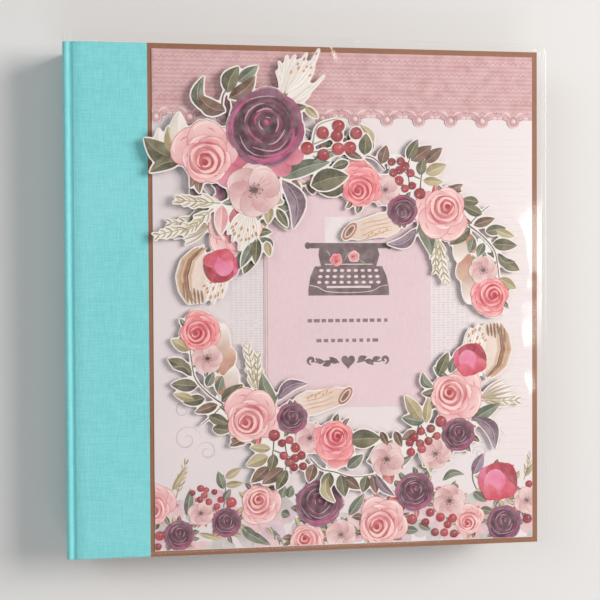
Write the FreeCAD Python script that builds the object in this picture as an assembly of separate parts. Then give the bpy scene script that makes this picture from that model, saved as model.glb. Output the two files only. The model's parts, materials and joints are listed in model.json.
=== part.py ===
# Scrapbook album, closed and lying on its back cover: two cloth-and-kraft covers, a stiff spine,
# six pages on a folded gusset, a paper wreath raised on foam pads, and a clear slip-on jacket.
# Frame: X from the spine to the fore edge, Y from the tail to the head, Z up.
# Origin: the middle of the back cover board, on the jacket face that the album rests on.
import FreeCAD
import Part
import math
import os

Vector = FreeCAD.Vector

# ---- driving dimensions, millimetres ----
cover_width = 260.0      # one cover, from the joint groove to the fore edge
cover_height = 280.0     # tail to head
board_thick = 2.0        # grey board in both covers and the spine
skin_thick = 0.5         # book cloth and kraft card, each with its glue
paper_thick = 0.3        # printed papers, liners and cards
film_thick = 0.3         # clear jacket
joint_radius = 2.2       # from a cover's hinge line to the outside of the cloth
joint_gap = 2.9          # from a cover's hinge line to the edge of its board
cloth_strip = 40.0       # cloth that shows on each cover
kraft_border = 3.0       # kraft that shows round a cover panel
kraft_joint_border = 2.4 # the same, beside the cloth

page_count = 6
page_pitch = 4.4         # from one page to the next, along the spine
leaf_thick = 1.0         # two kraft sheets glued together
page_inset = 5.0         # page edges behind the cover edges
leaf_start = 2.2         # leaf edge in front of its hinge line
tab_thick = 0.6          # folded gusset tab
tab_depth = 15.0
gusset_thick = 0.5
tab_root_gap = 0.2       # between a tab's round root and the gusset
mat_border = 8.0         # kraft that shows round a page paper
block_clearance = 0.7    # air under the last page
block_top_clearance = 1.2

photo_mat_width = 150.0
photo_mat_height = 190.0
pocket_pages = (2, 5)    # pages with a pull-out tag
pocket_width = 170.0
pocket_height = 150.0
pocket_tape = 0.8        # foam tape that spaces the pocket sheet off the page
pocket_tape_width = 6.0
tag_thick = 0.4
tag_width = 146.0
tag_height = 200.0
tag_corner = 14.0        # cut corners at the tag's head
tag_hole = 4.0           # radius of the punched thumb hole

foam_thick = 2.0         # pads under the wreath
foam_side = 8.0
pad_count = 15
pad_ring = 86.0
bouquet_lift = 1.2       # from the wreath's face to the bouquet's back
die_cut_thick = 0.4
title_width = 94.5
title_height = 120.0
lace_drop = 35.8         # straight part of the lace band, down from the panel's head edge
lace_pitch = 18.3        # from one scallop to the next
lace_first = 2.0         # from the panel's left edge to the first scallop's middle
lace_lobe_radius = 3.7
lace_lobe_drop = 1.3     # scallop middles below the straight part

margin_fore = 6.8        # jacket beyond the cover's edges
margin_head = 5.5
margin_tail = 1.5
weld_width = 3.2         # flange where the jacket's two sheets are welded
flap_reach = 103.0       # jacket flap inside each cover, from the fore edge
jacket_corner = 6.0
film_clearance = 0.1     # between the bouquet and the jacket
film_rise = 33.0         # over which the jacket rises from the joint to the bouquet's level
film_fall = 8.0          # over which it falls again to the fore edge
film_ease = 0.6          # room round the board's fore edge

# The printed art was laid out for a panel of this size, and scales with the panel.
art_width = 214.6
art_height = 274.0

# ---- levels and places worked out from them ----
half_width = cover_width / 2
half_height = cover_height / 2
back_out = film_thick + paper_thick                 # outside of the back cloth
back_in = back_out + skin_thick + board_thick + paper_thick + film_thick
first_root = back_in + block_clearance + tab_thick / 2
top_root = first_root + (page_count - 1) * page_pitch
page_rise = tab_thick / 2 + leaf_thick + paper_thick + pocket_tape + paper_thick
front_in = top_root + page_rise + block_top_clearance
front_out = front_in + film_thick + paper_thick + board_thick + skin_thick
hinge_x = -half_width - joint_gap
back_hinge_z = back_out + joint_radius
front_hinge_z = front_out - joint_radius
spine_in = hinge_x - joint_radius + skin_thick + board_thick
page_hinge_x = spine_in + gusset_thick + tab_root_gap + tab_thick / 2

panel_left = -half_width + cloth_strip + kraft_joint_border
panel_right = half_width - kraft_border
panel_top = half_height - kraft_border
panel_middle = Vector((panel_left + panel_right) / 2, 0, 0)
panel_face = front_out + paper_thick
wreath_back = panel_face + foam_thick
wreath_face = wreath_back + die_cut_thick
bouquet_back = wreath_face + bouquet_lift
bouquet_face = bouquet_back + die_cut_thick
film_top = bouquet_face + film_clearance
art_scale = min((panel_right - panel_left) / art_width, 2 * panel_top / art_height)

page_left = page_hinge_x + leaf_start
page_right = half_width - page_inset
page_top = half_height - page_inset
mat_left = page_hinge_x + tab_depth + mat_border
mat_right = page_right - mat_border
mat_top = page_top - mat_border
mat_middle_x = (mat_left + mat_right) / 2

# ---- the die-cuts, laid out from the middle of the panel: (x, y, radius) and leaves ----
wreath_middle = (0.0, -5.0)
wreath_band = (73.0, 92.0)   # inner and outer radius of the band that carries the flowers
wreath_flowers = [
    (6, 63, 12), (21, 64, 10), (31, 53, 12), (55, 55, 18), (82, 20, 10), (83, 0, 13),
    (71, -33, 12), (63, -52, 18), (63, -76, 13), (50, -87, 10), (20, -87, 11), (-9, -77, 13),
    (-22, -78, 9), (-33, -65, 12), (-55, -64, 18), (-78, -32, 10), (-84, -15, 13), (-75, 22, 12),
]
wreath_leaves = [  # (x, y, direction in degrees, length, width)
    (36, 78, 60, 22, 9), (47, 78, 25, 20, 8), (70, 52, 10, 20, 9), (80, 36, -10, 20, 9),
    (-84, -26, 150, 18, 8), (-80, -45, 190, 20, 9), (-72, -58, 215, 20, 9), (-50, -84, 240, 20, 9),
    (-30, -90, 255, 20, 9), (-8, -92, 280, 18, 9), (30, -72, 160, 18, 9), (40, -56, 130, 18, 9),
    (76, -62, 20, 16, 8), (80, -76, -60, 18, 9), (78, -45, 15, 18, 8), (12, -80, 45, 18, 9),
]
bouquet_flowers = [(-46, 95, 24), (-78, 78, 18), (-52, 60, 17), (-75, 97, 12), (-14, 91, 12)]
bouquet_leaves = [
    (-84, 106, 125, 24, 10), (-66, 114, 65, 24, 12), (-92, 84, 165, 24, 14), (-88, 74, 200, 22, 10),
    (-34, 112, 62, 30, 16), (-30, 108, 40, 34, 9), (-30, 72, 10, 36, 14), (-36, 62, -65, 30, 12),
    (-72, 56, 200, 30, 10), (-60, 48, 240, 28, 10),
]
tall_pads = [(-46, 90), (-60, 84), (-78, 78), (-70, 90)]   # stand on the panel, under the bouquet
short_pads = [(-52, 61), (-40, 67), (-62, 51)]             # stand on the wreath


def save(shape, node):
    if not shape.isValid() or shape.Volume <= 0:
        raise ValueError("bad solid for " + node)
    os.makedirs("parts", exist_ok=True)
    shape.exportStep("parts/" + node + ".step")


def block(x0, x1, y0, y1, z0, z1):
    return Part.makeBox(x1 - x0, y1 - y0, z1 - z0, Vector(x0, y0, z0))


def prism(points, thick, direction):
    # A closed outline of straight edges, pushed along a direction.
    face = Part.Face(Part.makePolygon(points + points[:1]))
    return face.extrude(direction * thick)


def sheet_along_y(path, thick, y0, y1):
    # A bent sheet: a polyline in X and Z, thickened to its left with mitred corners, run along Y.
    outer = []
    for i, (x, z) in enumerate(path):
        normals = []
        for a, b in ((i - 1, i), (i, i + 1)):
            if a >= 0 and b < len(path):
                dx, dz = path[b][0] - path[a][0], path[b][1] - path[a][1]
                length = math.hypot(dx, dz)
                normals.append((-dz / length, dx / length))
        nx = sum(n[0] for n in normals) / len(normals)
        nz = sum(n[1] for n in normals) / len(normals)
        stretch = thick / (nx * nx + nz * nz)
        outer.append((x + nx * stretch, z + nz * stretch))
    points = [Vector(x, y0, z) for x, z in path + outer[::-1]]
    return prism(points, y1 - y0, Vector(0, 1, 0))


def round_fore_corners(shape, top):
    # Cuts a jacket sheet's two fore-edge corners round.
    x1, y0, y1 = half_width + margin_fore, -half_height - margin_tail, half_height + margin_head
    outline = block(-half_width, x1, y0, y1, -1, top)
    corners = [e for e in outline.Edges if e.Length > top and abs(e.CenterOfMass.x - x1) < 0.01
               and abs(e.tangentAt(e.FirstParameter).z) > 0.9]
    return shape.common(outline.makeFillet(jacket_corner, corners))


def curl(z, side, radius, thick, end_angle):
    # Cloth or film round one joint, from the spine's outer face (180 degrees) to end_angle,
    # as a closed outline in X and Z. side is 1 at the front cover and -1 at the back.
    def at(r, degrees):
        a = math.radians(degrees)
        return Vector(hinge_x + r * math.cos(a), 0, z + side * r * math.sin(a))

    inner, middle = radius - thick, (180 + end_angle) / 2
    edges = [
        Part.Arc(at(radius, 180), at(radius, middle), at(radius, end_angle)).toShape(),
        Part.LineSegment(at(radius, end_angle), at(inner, end_angle)).toShape(),
        Part.Arc(at(inner, end_angle), at(inner, middle), at(inner, 180)).toShape(),
        Part.LineSegment(at(inner, 180), at(radius, 180)).toShape(),
    ]
    return Part.Face(Part.Wire(edges))


def spine_wrap(radius, thick, end_angle, y0, y1):
    # A skin on the spine's outer face that curls round both joints.
    curls = [curl(front_hinge_z, 1, radius, thick, end_angle), curl(back_hinge_z, -1, radius, thick, end_angle)]
    length = y1 - y0
    shapes = []
    for face in curls:
        face.translate(Vector(0, y0, 0))
        shapes.append(face.extrude(Vector(0, length, 0)))
    x0 = hinge_x - radius
    shapes.append(block(x0, x0 + thick, y0, y1, back_hinge_z, front_hinge_z))
    return shapes[0].multiFuse(shapes[1:]).removeSplitter()


def leaf_face(x, y, degrees, length, width):
    # A pointed leaf from two arcs, its stalk end at (x, y) less half its length.
    a = math.radians(degrees)
    along, across = Vector(math.cos(a), math.sin(a), 0), Vector(-math.sin(a), math.cos(a), 0)
    middle = Vector(x, y, 0)
    ends = [middle - along * (length / 2), middle + along * (length / 2)]
    sides = [middle + across * (width / 2), middle - across * (width / 2)]
    arcs = [Part.Arc(ends[0], sides[0], ends[1]).toShape(), Part.Arc(ends[1], sides[1], ends[0]).toShape()]
    return Part.Face(Part.Wire(arcs))


def die_cut(flowers, leaves, z, band=None):
    # One flat paper piece: flower discs and leaves run together, with an optional ring behind.
    up = Vector(0, 0, die_cut_thick)
    shapes = []
    for x, y, radius in flowers:
        shapes.append(Part.makeCylinder(radius, die_cut_thick, Vector(x, y, 0)))
    for leaf in leaves:
        shapes.append(leaf_face(*leaf).extrude(up))
    if band:
        middle = Vector(wreath_middle[0], wreath_middle[1], 0)
        ring = Part.makeCylinder(band[1], die_cut_thick, middle)
        shapes.insert(0, ring.cut(Part.makeCylinder(band[0], die_cut_thick, middle)))
    shape = shapes[0].multiFuse(shapes[1:]).removeSplitter()
    shape = shape.Solids[0]
    shape.scale(art_scale)
    # Scaling also thins the card, so it is cut from the outline again at its true thickness.
    base = [f for f in shape.Faces if abs(f.CenterOfMass.z) < 1e-6][0]
    card = base.extrude(Vector(0, 0, die_cut_thick))
    card.translate(panel_middle + Vector(0, 0, z))
    return card


def pad(x, y, z0, z1):
    middle = panel_middle + Vector(x, y, 0) * art_scale
    half = foam_side / 2
    return block(middle.x - half, middle.x + half, middle.y - half, middle.y + half, z0, z1)


def make_cover_shell(name, out_z, in_z):
    # Board, cloth strip, kraft card and liner of one cover. out_z is the cloth's outside.
    out = 1 if out_z > in_z else -1

    def levels(a, b):
        return min(a, b), max(a, b)

    skin = out_z - out * skin_thick
    board_in = skin - out * board_thick
    liner_in = board_in - out * paper_thick
    y_board = half_height - skin_thick
    x_fore = half_width - skin_thick
    seam = -half_width + cloth_strip
    save(block(-half_width, x_fore, -y_board, y_board, *levels(skin, board_in)), name + "_board")
    # The skins turn over the board's edges at the head, the tail and the fore edge.
    board_room = block(-half_width, x_fore, -y_board, y_board, *levels(skin, board_in))
    cloth = block(-half_width, seam, -half_height, half_height, *levels(out_z, board_in))
    save(cloth.cut(board_room), name + "_cloth")
    kraft = block(seam, half_width, -half_height, half_height, *levels(out_z, board_in))
    save(kraft.cut(board_room), name + "_kraft")
    inset = 2.0
    liner = block(-half_width, half_width - inset, -half_height + inset, half_height - inset,
                  *levels(board_in, liner_in))
    save(liner, name + "_liner")
    panel = block(panel_left, panel_right, -panel_top, panel_top, *levels(out_z, out_z + out * paper_thick))
    save(panel, name + "_panel")


def make_front_art():
    lace_edge = panel_top - lace_drop
    lace = [block(panel_left, panel_right, lace_edge, panel_top, panel_face, panel_face + paper_thick)]
    x = panel_left + lace_first
    while x < panel_right:
        middle = Vector(x, lace_edge - lace_lobe_drop, panel_face)
        lace.append(Part.makeCylinder(lace_lobe_radius, paper_thick, middle))
        x += lace_pitch
    panel_room = block(panel_left, panel_right, -panel_top, panel_top, panel_face, panel_face + paper_thick)
    save(lace[0].multiFuse(lace[1:]).common(panel_room).removeSplitter(), "lace_band")
    card_middle = panel_middle + Vector(0.5, 0, 0)
    half = title_width / 2
    save(block(card_middle.x - half, card_middle.x + half, -title_height / 2, title_height / 2,
               panel_face, panel_face + paper_thick), "title_card")
    save(die_cut(wreath_flowers, wreath_leaves, wreath_back, wreath_band), "wreath_die_cut")
    save(die_cut(bouquet_flowers, bouquet_leaves, bouquet_back), "bouquet_die_cut")
    pads = []
    for i in range(pad_count):
        a = 2 * math.pi * i / pad_count
        pads.append(pad(wreath_middle[0] + pad_ring * math.cos(a), wreath_middle[1] + pad_ring * math.sin(a),
                        panel_face, wreath_back))
    save(Part.makeCompound(pads), "wreath_foam_pads")
    pads = [pad(x, y, panel_face, bouquet_back) for x, y in tall_pads]
    pads += [pad(x, y, wreath_face, bouquet_back) for x, y in short_pads]
    save(Part.makeCompound(pads), "bouquet_foam_pads")


def make_jacket():
    y0, y1 = -half_height - margin_tail, half_height + margin_head
    x1 = half_width + margin_fore
    bend = x1 - weld_width
    shoulder = half_width + film_ease
    flap_start = half_width - flap_reach
    weld = front_in + film_thick
    path = [(-half_width, front_out), (-half_width + film_rise, film_top), (half_width - film_fall, film_top),
            (shoulder, front_out + film_ease), (bend, weld), (x1, weld)]
    cut_top = film_top + 10
    save(round_fore_corners(sheet_along_y(path, film_thick, y0, y1), cut_top), "jacket_front_sheet")
    flap = block(flap_start, x1, y0, y1, front_in, weld)
    save(round_fore_corners(flap, cut_top), "jacket_front_flap")
    sheet = block(-half_width, x1, y0, y1, 0, film_thick)
    save(round_fore_corners(sheet, cut_top), "jacket_back_sheet")
    back_flap_z = back_in - film_thick
    path = [(flap_start, back_flap_z), (shoulder, back_flap_z), (bend, film_thick), (x1, film_thick)]
    save(round_fore_corners(sheet_along_y(path, film_thick, y0, y1), cut_top), "jacket_back_flap")
    save(spine_wrap(joint_radius + film_thick, film_thick, 85, y0, y1), "jacket_spine")


def make_spine():
    edge = 1.0    # board stops short of both hinge lines
    x0 = hinge_x - joint_radius + skin_thick
    y = half_height - skin_thick
    save(block(x0, spine_in, -y, y, back_hinge_z + edge, front_hinge_z - edge), "spine_board")
    save(spine_wrap(joint_radius, skin_thick, 45, -half_height, half_height), "spine_cloth")
    save(block(spine_in, spine_in + gusset_thick, -page_top, page_top,
               back_hinge_z + edge, front_hinge_z - edge), "gusset_strip")


def make_page(number):
    z = first_root + (page_count - number) * page_pitch
    node = "page_%d_" % number
    root = tab_thick / 2
    tab = block(page_hinge_x, page_hinge_x + tab_depth, -page_top, page_top, z - root, z + root)
    bead = Part.makeCylinder(root, 2 * page_top, Vector(page_hinge_x, -page_top, z), Vector(0, 1, 0))
    save(tab.fuse(bead).removeSplitter(), node + "tab")
    leaf_base = z + root
    leaf_face_z = leaf_base + leaf_thick
    save(block(page_left, page_right, -page_top, page_top, leaf_base, leaf_face_z), node + "leaf")
    mat_face = leaf_face_z + paper_thick
    save(block(mat_left, mat_right, -mat_top, mat_top, leaf_face_z, mat_face), node + "front_mat")
    save(block(mat_left, mat_right, -mat_top, mat_top, leaf_base - paper_thick, leaf_base), node + "back_mat")
    if number in pocket_pages:
        make_pocket(node, mat_face)
    else:
        half_w, half_h = photo_mat_width / 2, photo_mat_height / 2
        save(block(mat_middle_x - half_w, mat_middle_x + half_w, -half_h, half_h,
                   mat_face, mat_face + paper_thick), node + "photo_mat")


def make_pocket(node, z):
    # A paper pocket held off the page by tape on three sides, with a tag that slides out at the head.
    x0, x1 = mat_middle_x - pocket_width / 2, mat_middle_x + pocket_width / 2
    y0 = -mat_top
    y1 = y0 + pocket_height
    z1 = z + pocket_tape
    w = pocket_tape_width
    tapes = [block(x0, x0 + w, y0, y1, z, z1), block(x1 - w, x1, y0, y1, z, z1),
             block(x0 + w, x1 - w, y0, y0 + w, z, z1)]
    save(Part.makeCompound(tapes), node + "pocket_tape")
    save(block(x0, x1, y0, y1, z1, z1 + paper_thick), node + "pocket")
    half, c = tag_width / 2, tag_corner
    base, head = y0 + w + 0.5, y0 + w + 0.5 + tag_height
    lift = (pocket_tape - tag_thick) / 2
    points = [Vector(mat_middle_x + x, y, z + lift) for x, y in
              ((-half, base), (half, base), (half, head - c), (half - c, head), (c - half, head), (-half, head - c))]
    tag = prism(points, tag_thick, Vector(0, 0, 1))
    hole = Part.makeCylinder(tag_hole, 3 * tag_thick, Vector(mat_middle_x, head - c, z + lift - tag_thick))
    save(tag.cut(hole), node + "tag")


make_cover_shell("back", back_out, back_in)
make_cover_shell("front", front_out, front_in)
make_front_art()
make_spine()
for page_number in range(1, page_count + 1):
    make_page(page_number)
make_jacket()
print("hinge x %.2f, back z %.2f, front z %.2f" % (hinge_x, back_hinge_z, front_hinge_z))
print("page hinge x %.2f, last root z %.2f, top z %.2f" % (page_hinge_x, first_root, film_top + film_thick))
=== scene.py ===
# A flower-wreath scrapbook album in its clear jacket.
# Lengths in the dictionaries are millimetres; art places are measured from the front cover's
# joint edge (u) and its tail edge (v), as a maker would rule them on the cover.
import bmesh
import bpy
import json
import math
import random
import numpy as np
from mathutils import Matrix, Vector


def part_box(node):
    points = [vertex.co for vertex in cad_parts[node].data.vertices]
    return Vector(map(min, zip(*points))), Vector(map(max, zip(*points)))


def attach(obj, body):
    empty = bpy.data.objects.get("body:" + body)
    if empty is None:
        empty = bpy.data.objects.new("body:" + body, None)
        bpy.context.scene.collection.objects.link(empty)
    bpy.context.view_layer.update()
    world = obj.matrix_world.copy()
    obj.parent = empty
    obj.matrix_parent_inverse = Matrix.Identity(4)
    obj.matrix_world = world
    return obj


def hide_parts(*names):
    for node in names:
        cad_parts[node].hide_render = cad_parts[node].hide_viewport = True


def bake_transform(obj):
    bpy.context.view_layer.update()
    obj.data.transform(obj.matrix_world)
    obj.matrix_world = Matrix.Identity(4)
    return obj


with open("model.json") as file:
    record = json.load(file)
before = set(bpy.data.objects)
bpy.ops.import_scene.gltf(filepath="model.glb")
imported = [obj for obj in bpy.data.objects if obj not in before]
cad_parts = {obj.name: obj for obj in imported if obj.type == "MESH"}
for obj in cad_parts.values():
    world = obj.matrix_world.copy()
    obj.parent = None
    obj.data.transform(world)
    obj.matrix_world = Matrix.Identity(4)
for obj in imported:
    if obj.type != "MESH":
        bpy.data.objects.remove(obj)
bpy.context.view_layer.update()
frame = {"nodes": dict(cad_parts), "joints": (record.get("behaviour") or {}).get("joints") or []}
mm = 0.001


def corners(node):
    low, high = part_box(node)
    return Vector(low), Vector(high)


clothLow, clothHigh = corners("front_cloth")
kraftHigh = corners("front_kraft")[1]
panelLow, panelHigh = corners("front_panel")
wreathLow, wreathHigh = corners("wreath_die_cut")
bouquetLow, bouquetHigh = corners("bouquet_die_cut")
filmLow, filmHigh = corners("jacket_front_sheet")
joints = {j["name"]: j for j in frame["joints"]}
frontHinge = Vector(joints["front_cover_open"]["pos_m"])
backHinge = Vector(joints["spine_tilt"]["pos_m"])
coverLeft, coverTail, coverHead, coverFore = clothLow.x, clothLow.y, clothHigh.y, kraftHigh.x
coverFace = clothHigh.z


def spot(u, v):
    return coverLeft + u * mm, coverTail + v * mm


# ---- colours and materials ----

def tone(r, g, b):
    # an sRGB colour, 0 to 255, as the linear values that shaders use
    return tuple(((c / 255 + 0.055) / 1.055) ** 2.4 if c > 10 else c / 255 / 12.92 for c in (r, g, b))


def addNode(tree, kind, inputs=(), **settings):
    # a node with its settings; each input is a plain value or another node's socket
    node = tree.nodes.new(kind)
    for key, value in settings.items():
        setattr(node, key, value)
    for key, value in dict(inputs).items():
        if isinstance(value, bpy.types.NodeSocket):
            tree.links.new(value, node.inputs[key])
        else:
            node.inputs[key].default_value = value
    return node


def newMaterial(name, roughness):
    material = bpy.data.materials.new(name)
    material.use_nodes = True
    tree = material.node_tree
    shader = tree.nodes["Principled BSDF"]
    shader.inputs["Roughness"].default_value = roughness
    return material, tree, shader, addNode(tree, "ShaderNodeTexCoord").outputs["Object"]


def noiseValue(tree, coords, scale, detail=3, stretch=(1, 1, 1)):
    mapping = addNode(tree, "ShaderNodeMapping", {"Vector": coords, "Scale": stretch})
    return addNode(tree, "ShaderNodeTexNoise", {"Vector": mapping.outputs["Vector"], "Scale": scale,
                                                "Detail": detail}).outputs["Fac"]


def blendColours(tree, factor, first, second, kind="MIX"):
    first, second = ((*c, 1) if isinstance(c, tuple) else c for c in (first, second))
    return addNode(tree, "ShaderNodeMix", {0: factor, 6: first, 7: second}, data_type="RGBA",
                   blend_type=kind).outputs[2]


def ramp(tree, value, low, high, toLow=0.0, toHigh=1.0):
    return addNode(tree, "ShaderNodeMapRange", {"Value": value, "From Min": low, "From Max": high, "To Min": toLow,
                                                "To Max": toHigh}).outputs["Result"]


def calc(tree, kind, *values):
    return addNode(tree, "ShaderNodeMath", enumerate(values), operation=kind).outputs["Value"]


def addBump(tree, shader, height, strength, distance):
    bump = addNode(tree, "ShaderNodeBump", {"Strength": strength, "Distance": distance, "Height": height})
    tree.links.new(bump.outputs["Normal"], shader.inputs["Normal"])


def cloudy(tree, base, value, low, high, share, tint):
    # lays a tint over the base where a noise runs from low to high, at most by share
    return blendColours(tree, ramp(tree, value, low, high, 0, share), base, tint)


def linenMaterial():
    material, tree, shader, coords = newMaterial("turquoiseLinen", 0.82)
    weaves = []
    for stretch in ((1, 0.06, 0.06), (0.06, 1, 1)):
        threads = noiseValue(tree, coords, linen["threadsPerMetre"], 2, stretch)
        weaves.append(ramp(tree, threads, 0.32, 0.68))
    cloth = calc(tree, "MULTIPLY", calc(tree, "ADD", weaves[0], weaves[1]), 0.5)
    worn = noiseValue(tree, coords, 14, 2)
    base = blendColours(tree, cloth, linen["shade"], linen["light"])
    colour = cloudy(tree, base, worn, 0.3, 0.7, 0.35, linen["pale"])
    tree.links.new(colour, shader.inputs["Base Color"])
    addBump(tree, shader, cloth, 0.5, 0.0002)
    return material


def paperMaterial(name, colour, speck=None, roughness=0.75, grain=0.08):
    material, tree, shader, coords = newMaterial(name, roughness)
    fibres = noiseValue(tree, coords, 900, 4, (1, 0.35, 1))
    clouds = noiseValue(tree, coords, 25, 2)
    dark = tuple(c * (1 - 2.5 * grain) for c in colour)
    tinted = blendColours(tree, ramp(tree, fibres, 0.35, 0.7), dark, colour)
    tinted = cloudy(tree, tinted, clouds, 0.35, 0.65, 0.3, speck or colour)
    tree.links.new(tinted, shader.inputs["Base Color"])
    addBump(tree, shader, fibres, 0.15, 0.0001)
    return material


def paintMaterial(name, roughness=0.55):
    # watercolour print: the petals carry their colour, the wash varies it
    material, tree, shader, coords = newMaterial(name, roughness)
    tint = addNode(tree, "ShaderNodeVertexColor", layer_name="Tint")
    wash = noiseValue(tree, coords, 240, 5)
    pools = noiseValue(tree, coords, 150, 4)
    washed = cloudy(tree, tint.outputs["Color"], wash, 0.42, 0.75, 0.14, (0.9, 0.8, 0.76))
    deep = blendColours(tree, 1.0, washed, washed, "MULTIPLY")
    colour = cloudy(tree, washed, pools, 0.42, 0.72, 0.4, deep)
    tree.links.new(colour, shader.inputs["Base Color"])
    return material


def filmMaterial(name):
    # clear film: light goes straight through, and the gloss grows evenly towards grazing angles
    material = bpy.data.materials.new(name)
    material.use_nodes = True
    tree = material.node_tree
    tree.nodes.clear()
    clear = addNode(tree, "ShaderNodeBsdfTransparent")
    gloss = addNode(tree, "ShaderNodeBsdfGlossy", {"Roughness": film["roughness"]})
    slant = addNode(tree, "ShaderNodeLayerWeight", {"Blend": 0.12})
    shine = ramp(tree, slant.outputs["Facing"], 0.0, 1.0, film["shine"], film["grazingShine"])
    surface = addNode(tree, "ShaderNodeMixShader", {"Fac": shine, 1: clear.outputs["BSDF"], 2: gloss.outputs["BSDF"]})
    addNode(tree, "ShaderNodeOutputMaterial", {"Surface": surface.outputs["Shader"]})
    return material


# ---- mesh helpers ----

def newSheaf(printed=False):
    # printed art stays flat on the panel and is cut off at its edges
    return {"verts": [], "faces": [], "tints": [], "outlines": [], "printed": printed}


def linkObject(name, data):
    made = bpy.data.objects.new(name, data)
    bpy.context.scene.collection.objects.link(made)
    return made


def plainMesh(name, source):
    # what an object comes to once its modifiers or curve are worked out
    bpy.context.view_layer.update()
    mesh = bpy.data.meshes.new_from_object(source.evaluated_get(bpy.context.evaluated_depsgraph_get()))
    mesh.name = name
    return mesh


def meshObject(name, verts, faces, material, tints=None, smooth=False):
    mesh = bpy.data.meshes.new(name)
    mesh.from_pydata([tuple(v) for v in verts], [], faces)
    mesh.materials.append(material)
    if tints is not None:
        layer = mesh.color_attributes.new("Tint", "FLOAT_COLOR", "POINT")
        flat = np.ones((len(tints), 4), np.float32)
        flat[:, :3] = np.array(tints, np.float32)
        layer.data.foreach_set("color", flat.ravel())
    if smooth:
        mesh.polygons.foreach_set("use_smooth", [True] * len(mesh.polygons))
        mesh.set_sharp_from_angle(angle=math.radians(50))
    mesh.update()
    return linkObject(name, mesh)


def layPieces(slot, *pieces):
    # pieces that lie on the front cover, attached to its body
    for piece in pieces:
        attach(piece, "front_cover")


def closedSheet(name, outer, inner, count, rows, material):
    # a smooth sheet with thickness: both faces, then its ends and its sides
    layer, faces = count * rows, []
    for i in range(count - 1):
        for k in range(rows - 1):
            a, b = i * rows + k, (i + 1) * rows + k
            faces += [(a, b, b + 1, a + 1), (layer + a + 1, layer + b + 1, layer + b, layer + a)]
    last = (count - 1) * rows
    for k in range(rows - 1):
        e = last + k
        faces += [(k, k + 1, layer + k + 1, layer + k), (e + 1, e, layer + e, layer + e + 1)]
    for i in range(count - 1):
        a, b = i * rows, (i + 1) * rows
        c, d = a + rows - 1, b + rows - 1
        faces += [(b, a, layer + a, layer + b), (c, d, layer + d, layer + c)]
    piece = meshObject(name, [*outer, *inner], faces, material, None, True)
    mergeSeams(piece, 0)
    return piece


def sheafObject(name, sheaf, material):
    return meshObject(name, sheaf["verts"], sheaf["faces"], material, sheaf["tints"])


def mixTone(a, b, t):
    return tuple(x + (y - x) * t for x, y in zip(a, b))


def clipOutline(points, window):
    # keeps the part of an outline inside a (left, tail, right, head) window
    left, tail, right, head = window
    sides = [(0, left, 1), (0, right, -1), (1, tail, 1), (1, head, -1)]
    for axis, limit, sign in sides:
        kept = []
        for i, p in enumerate(points):
            q = points[i - 1]
            pIn, qIn = (p[axis] - limit) * sign >= 0, (q[axis] - limit) * sign >= 0
            if pIn != qIn:
                t = (limit - q[axis]) / (p[axis] - q[axis])
                kept.append((q[0] + (p[0] - q[0]) * t, q[1] + (p[1] - q[1]) * t))
            if pIn:
                kept.append(p)
        points = kept
        if len(points) < 3:
            return []
    return points


paint = {"thick": 0.03, "step": 0.009, "rings": (1.0, 0.9, 0.62, 0.3)}
artWindow = (42.6, 3.3, 256.8, 276.8)


def addPatch(sheaf, outline, level, inner, rim, toward=None, dome=0.0, foot=True):
    # a petal or leaf half: a closed thin shape with its own colour from base to rim
    if sheaf["printed"]:
        outline = clipOutline(outline, artWindow)
        if len(outline) < 3:
            return
    area = sum(outline[i - 1][0] * p[1] - p[0] * outline[i - 1][1] for i, p in enumerate(outline))
    if area < 0:
        outline = outline[::-1]
    if abs(area) < 0.02:
        return
    if foot:
        sheaf["outlines"].append(outline)
    cx = sum(p[0] for p in outline) / len(outline)
    cy = sum(p[1] for p in outline) / len(outline)
    size = max(math.hypot(p[0] - cx, p[1] - cy) for p in outline)
    start, count = len(sheaf["verts"]), len(outline)
    top = level + paint["thick"]

    def place(px, py, z, f):
        x, y = spot(px, py)
        sheaf["verts"].append((x, y, z * mm))
        if toward is None:
            t = f
        else:
            t = 0.5 + 0.5 * ((px - cx) * math.cos(toward) + (py - cy) * math.sin(toward)) / size
            t = min(1, max(0, t)) ** 1.3
        sheaf["tints"].append(mixTone(inner, rim, t))

    for f in paint["rings"]:
        for px, py in outline:
            place(cx + (px - cx) * f, cy + (py - cy) * f, top + dome * (1 - f * f), f)
    place(cx, cy, top + dome, 0)
    for px, py in outline:
        place(px, py, level, 1)
    middle = start + count * len(paint["rings"])
    bottom = middle + 1
    for k in range(len(paint["rings"]) - 1):
        a, b = start + k * count, start + (k + 1) * count
        for i in range(count):
            j = (i + 1) % count
            sheaf["faces"].append((a + i, a + j, b + j, b + i))
    last = start + (len(paint["rings"]) - 1) * count
    for i in range(count):
        j = (i + 1) % count
        sheaf["faces"].append((last + i, last + j, middle))
        sheaf["faces"].append((bottom + i, bottom + j, start + j, start + i))
    sheaf["faces"].append(tuple(bottom + i for i in reversed(range(count))))


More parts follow.
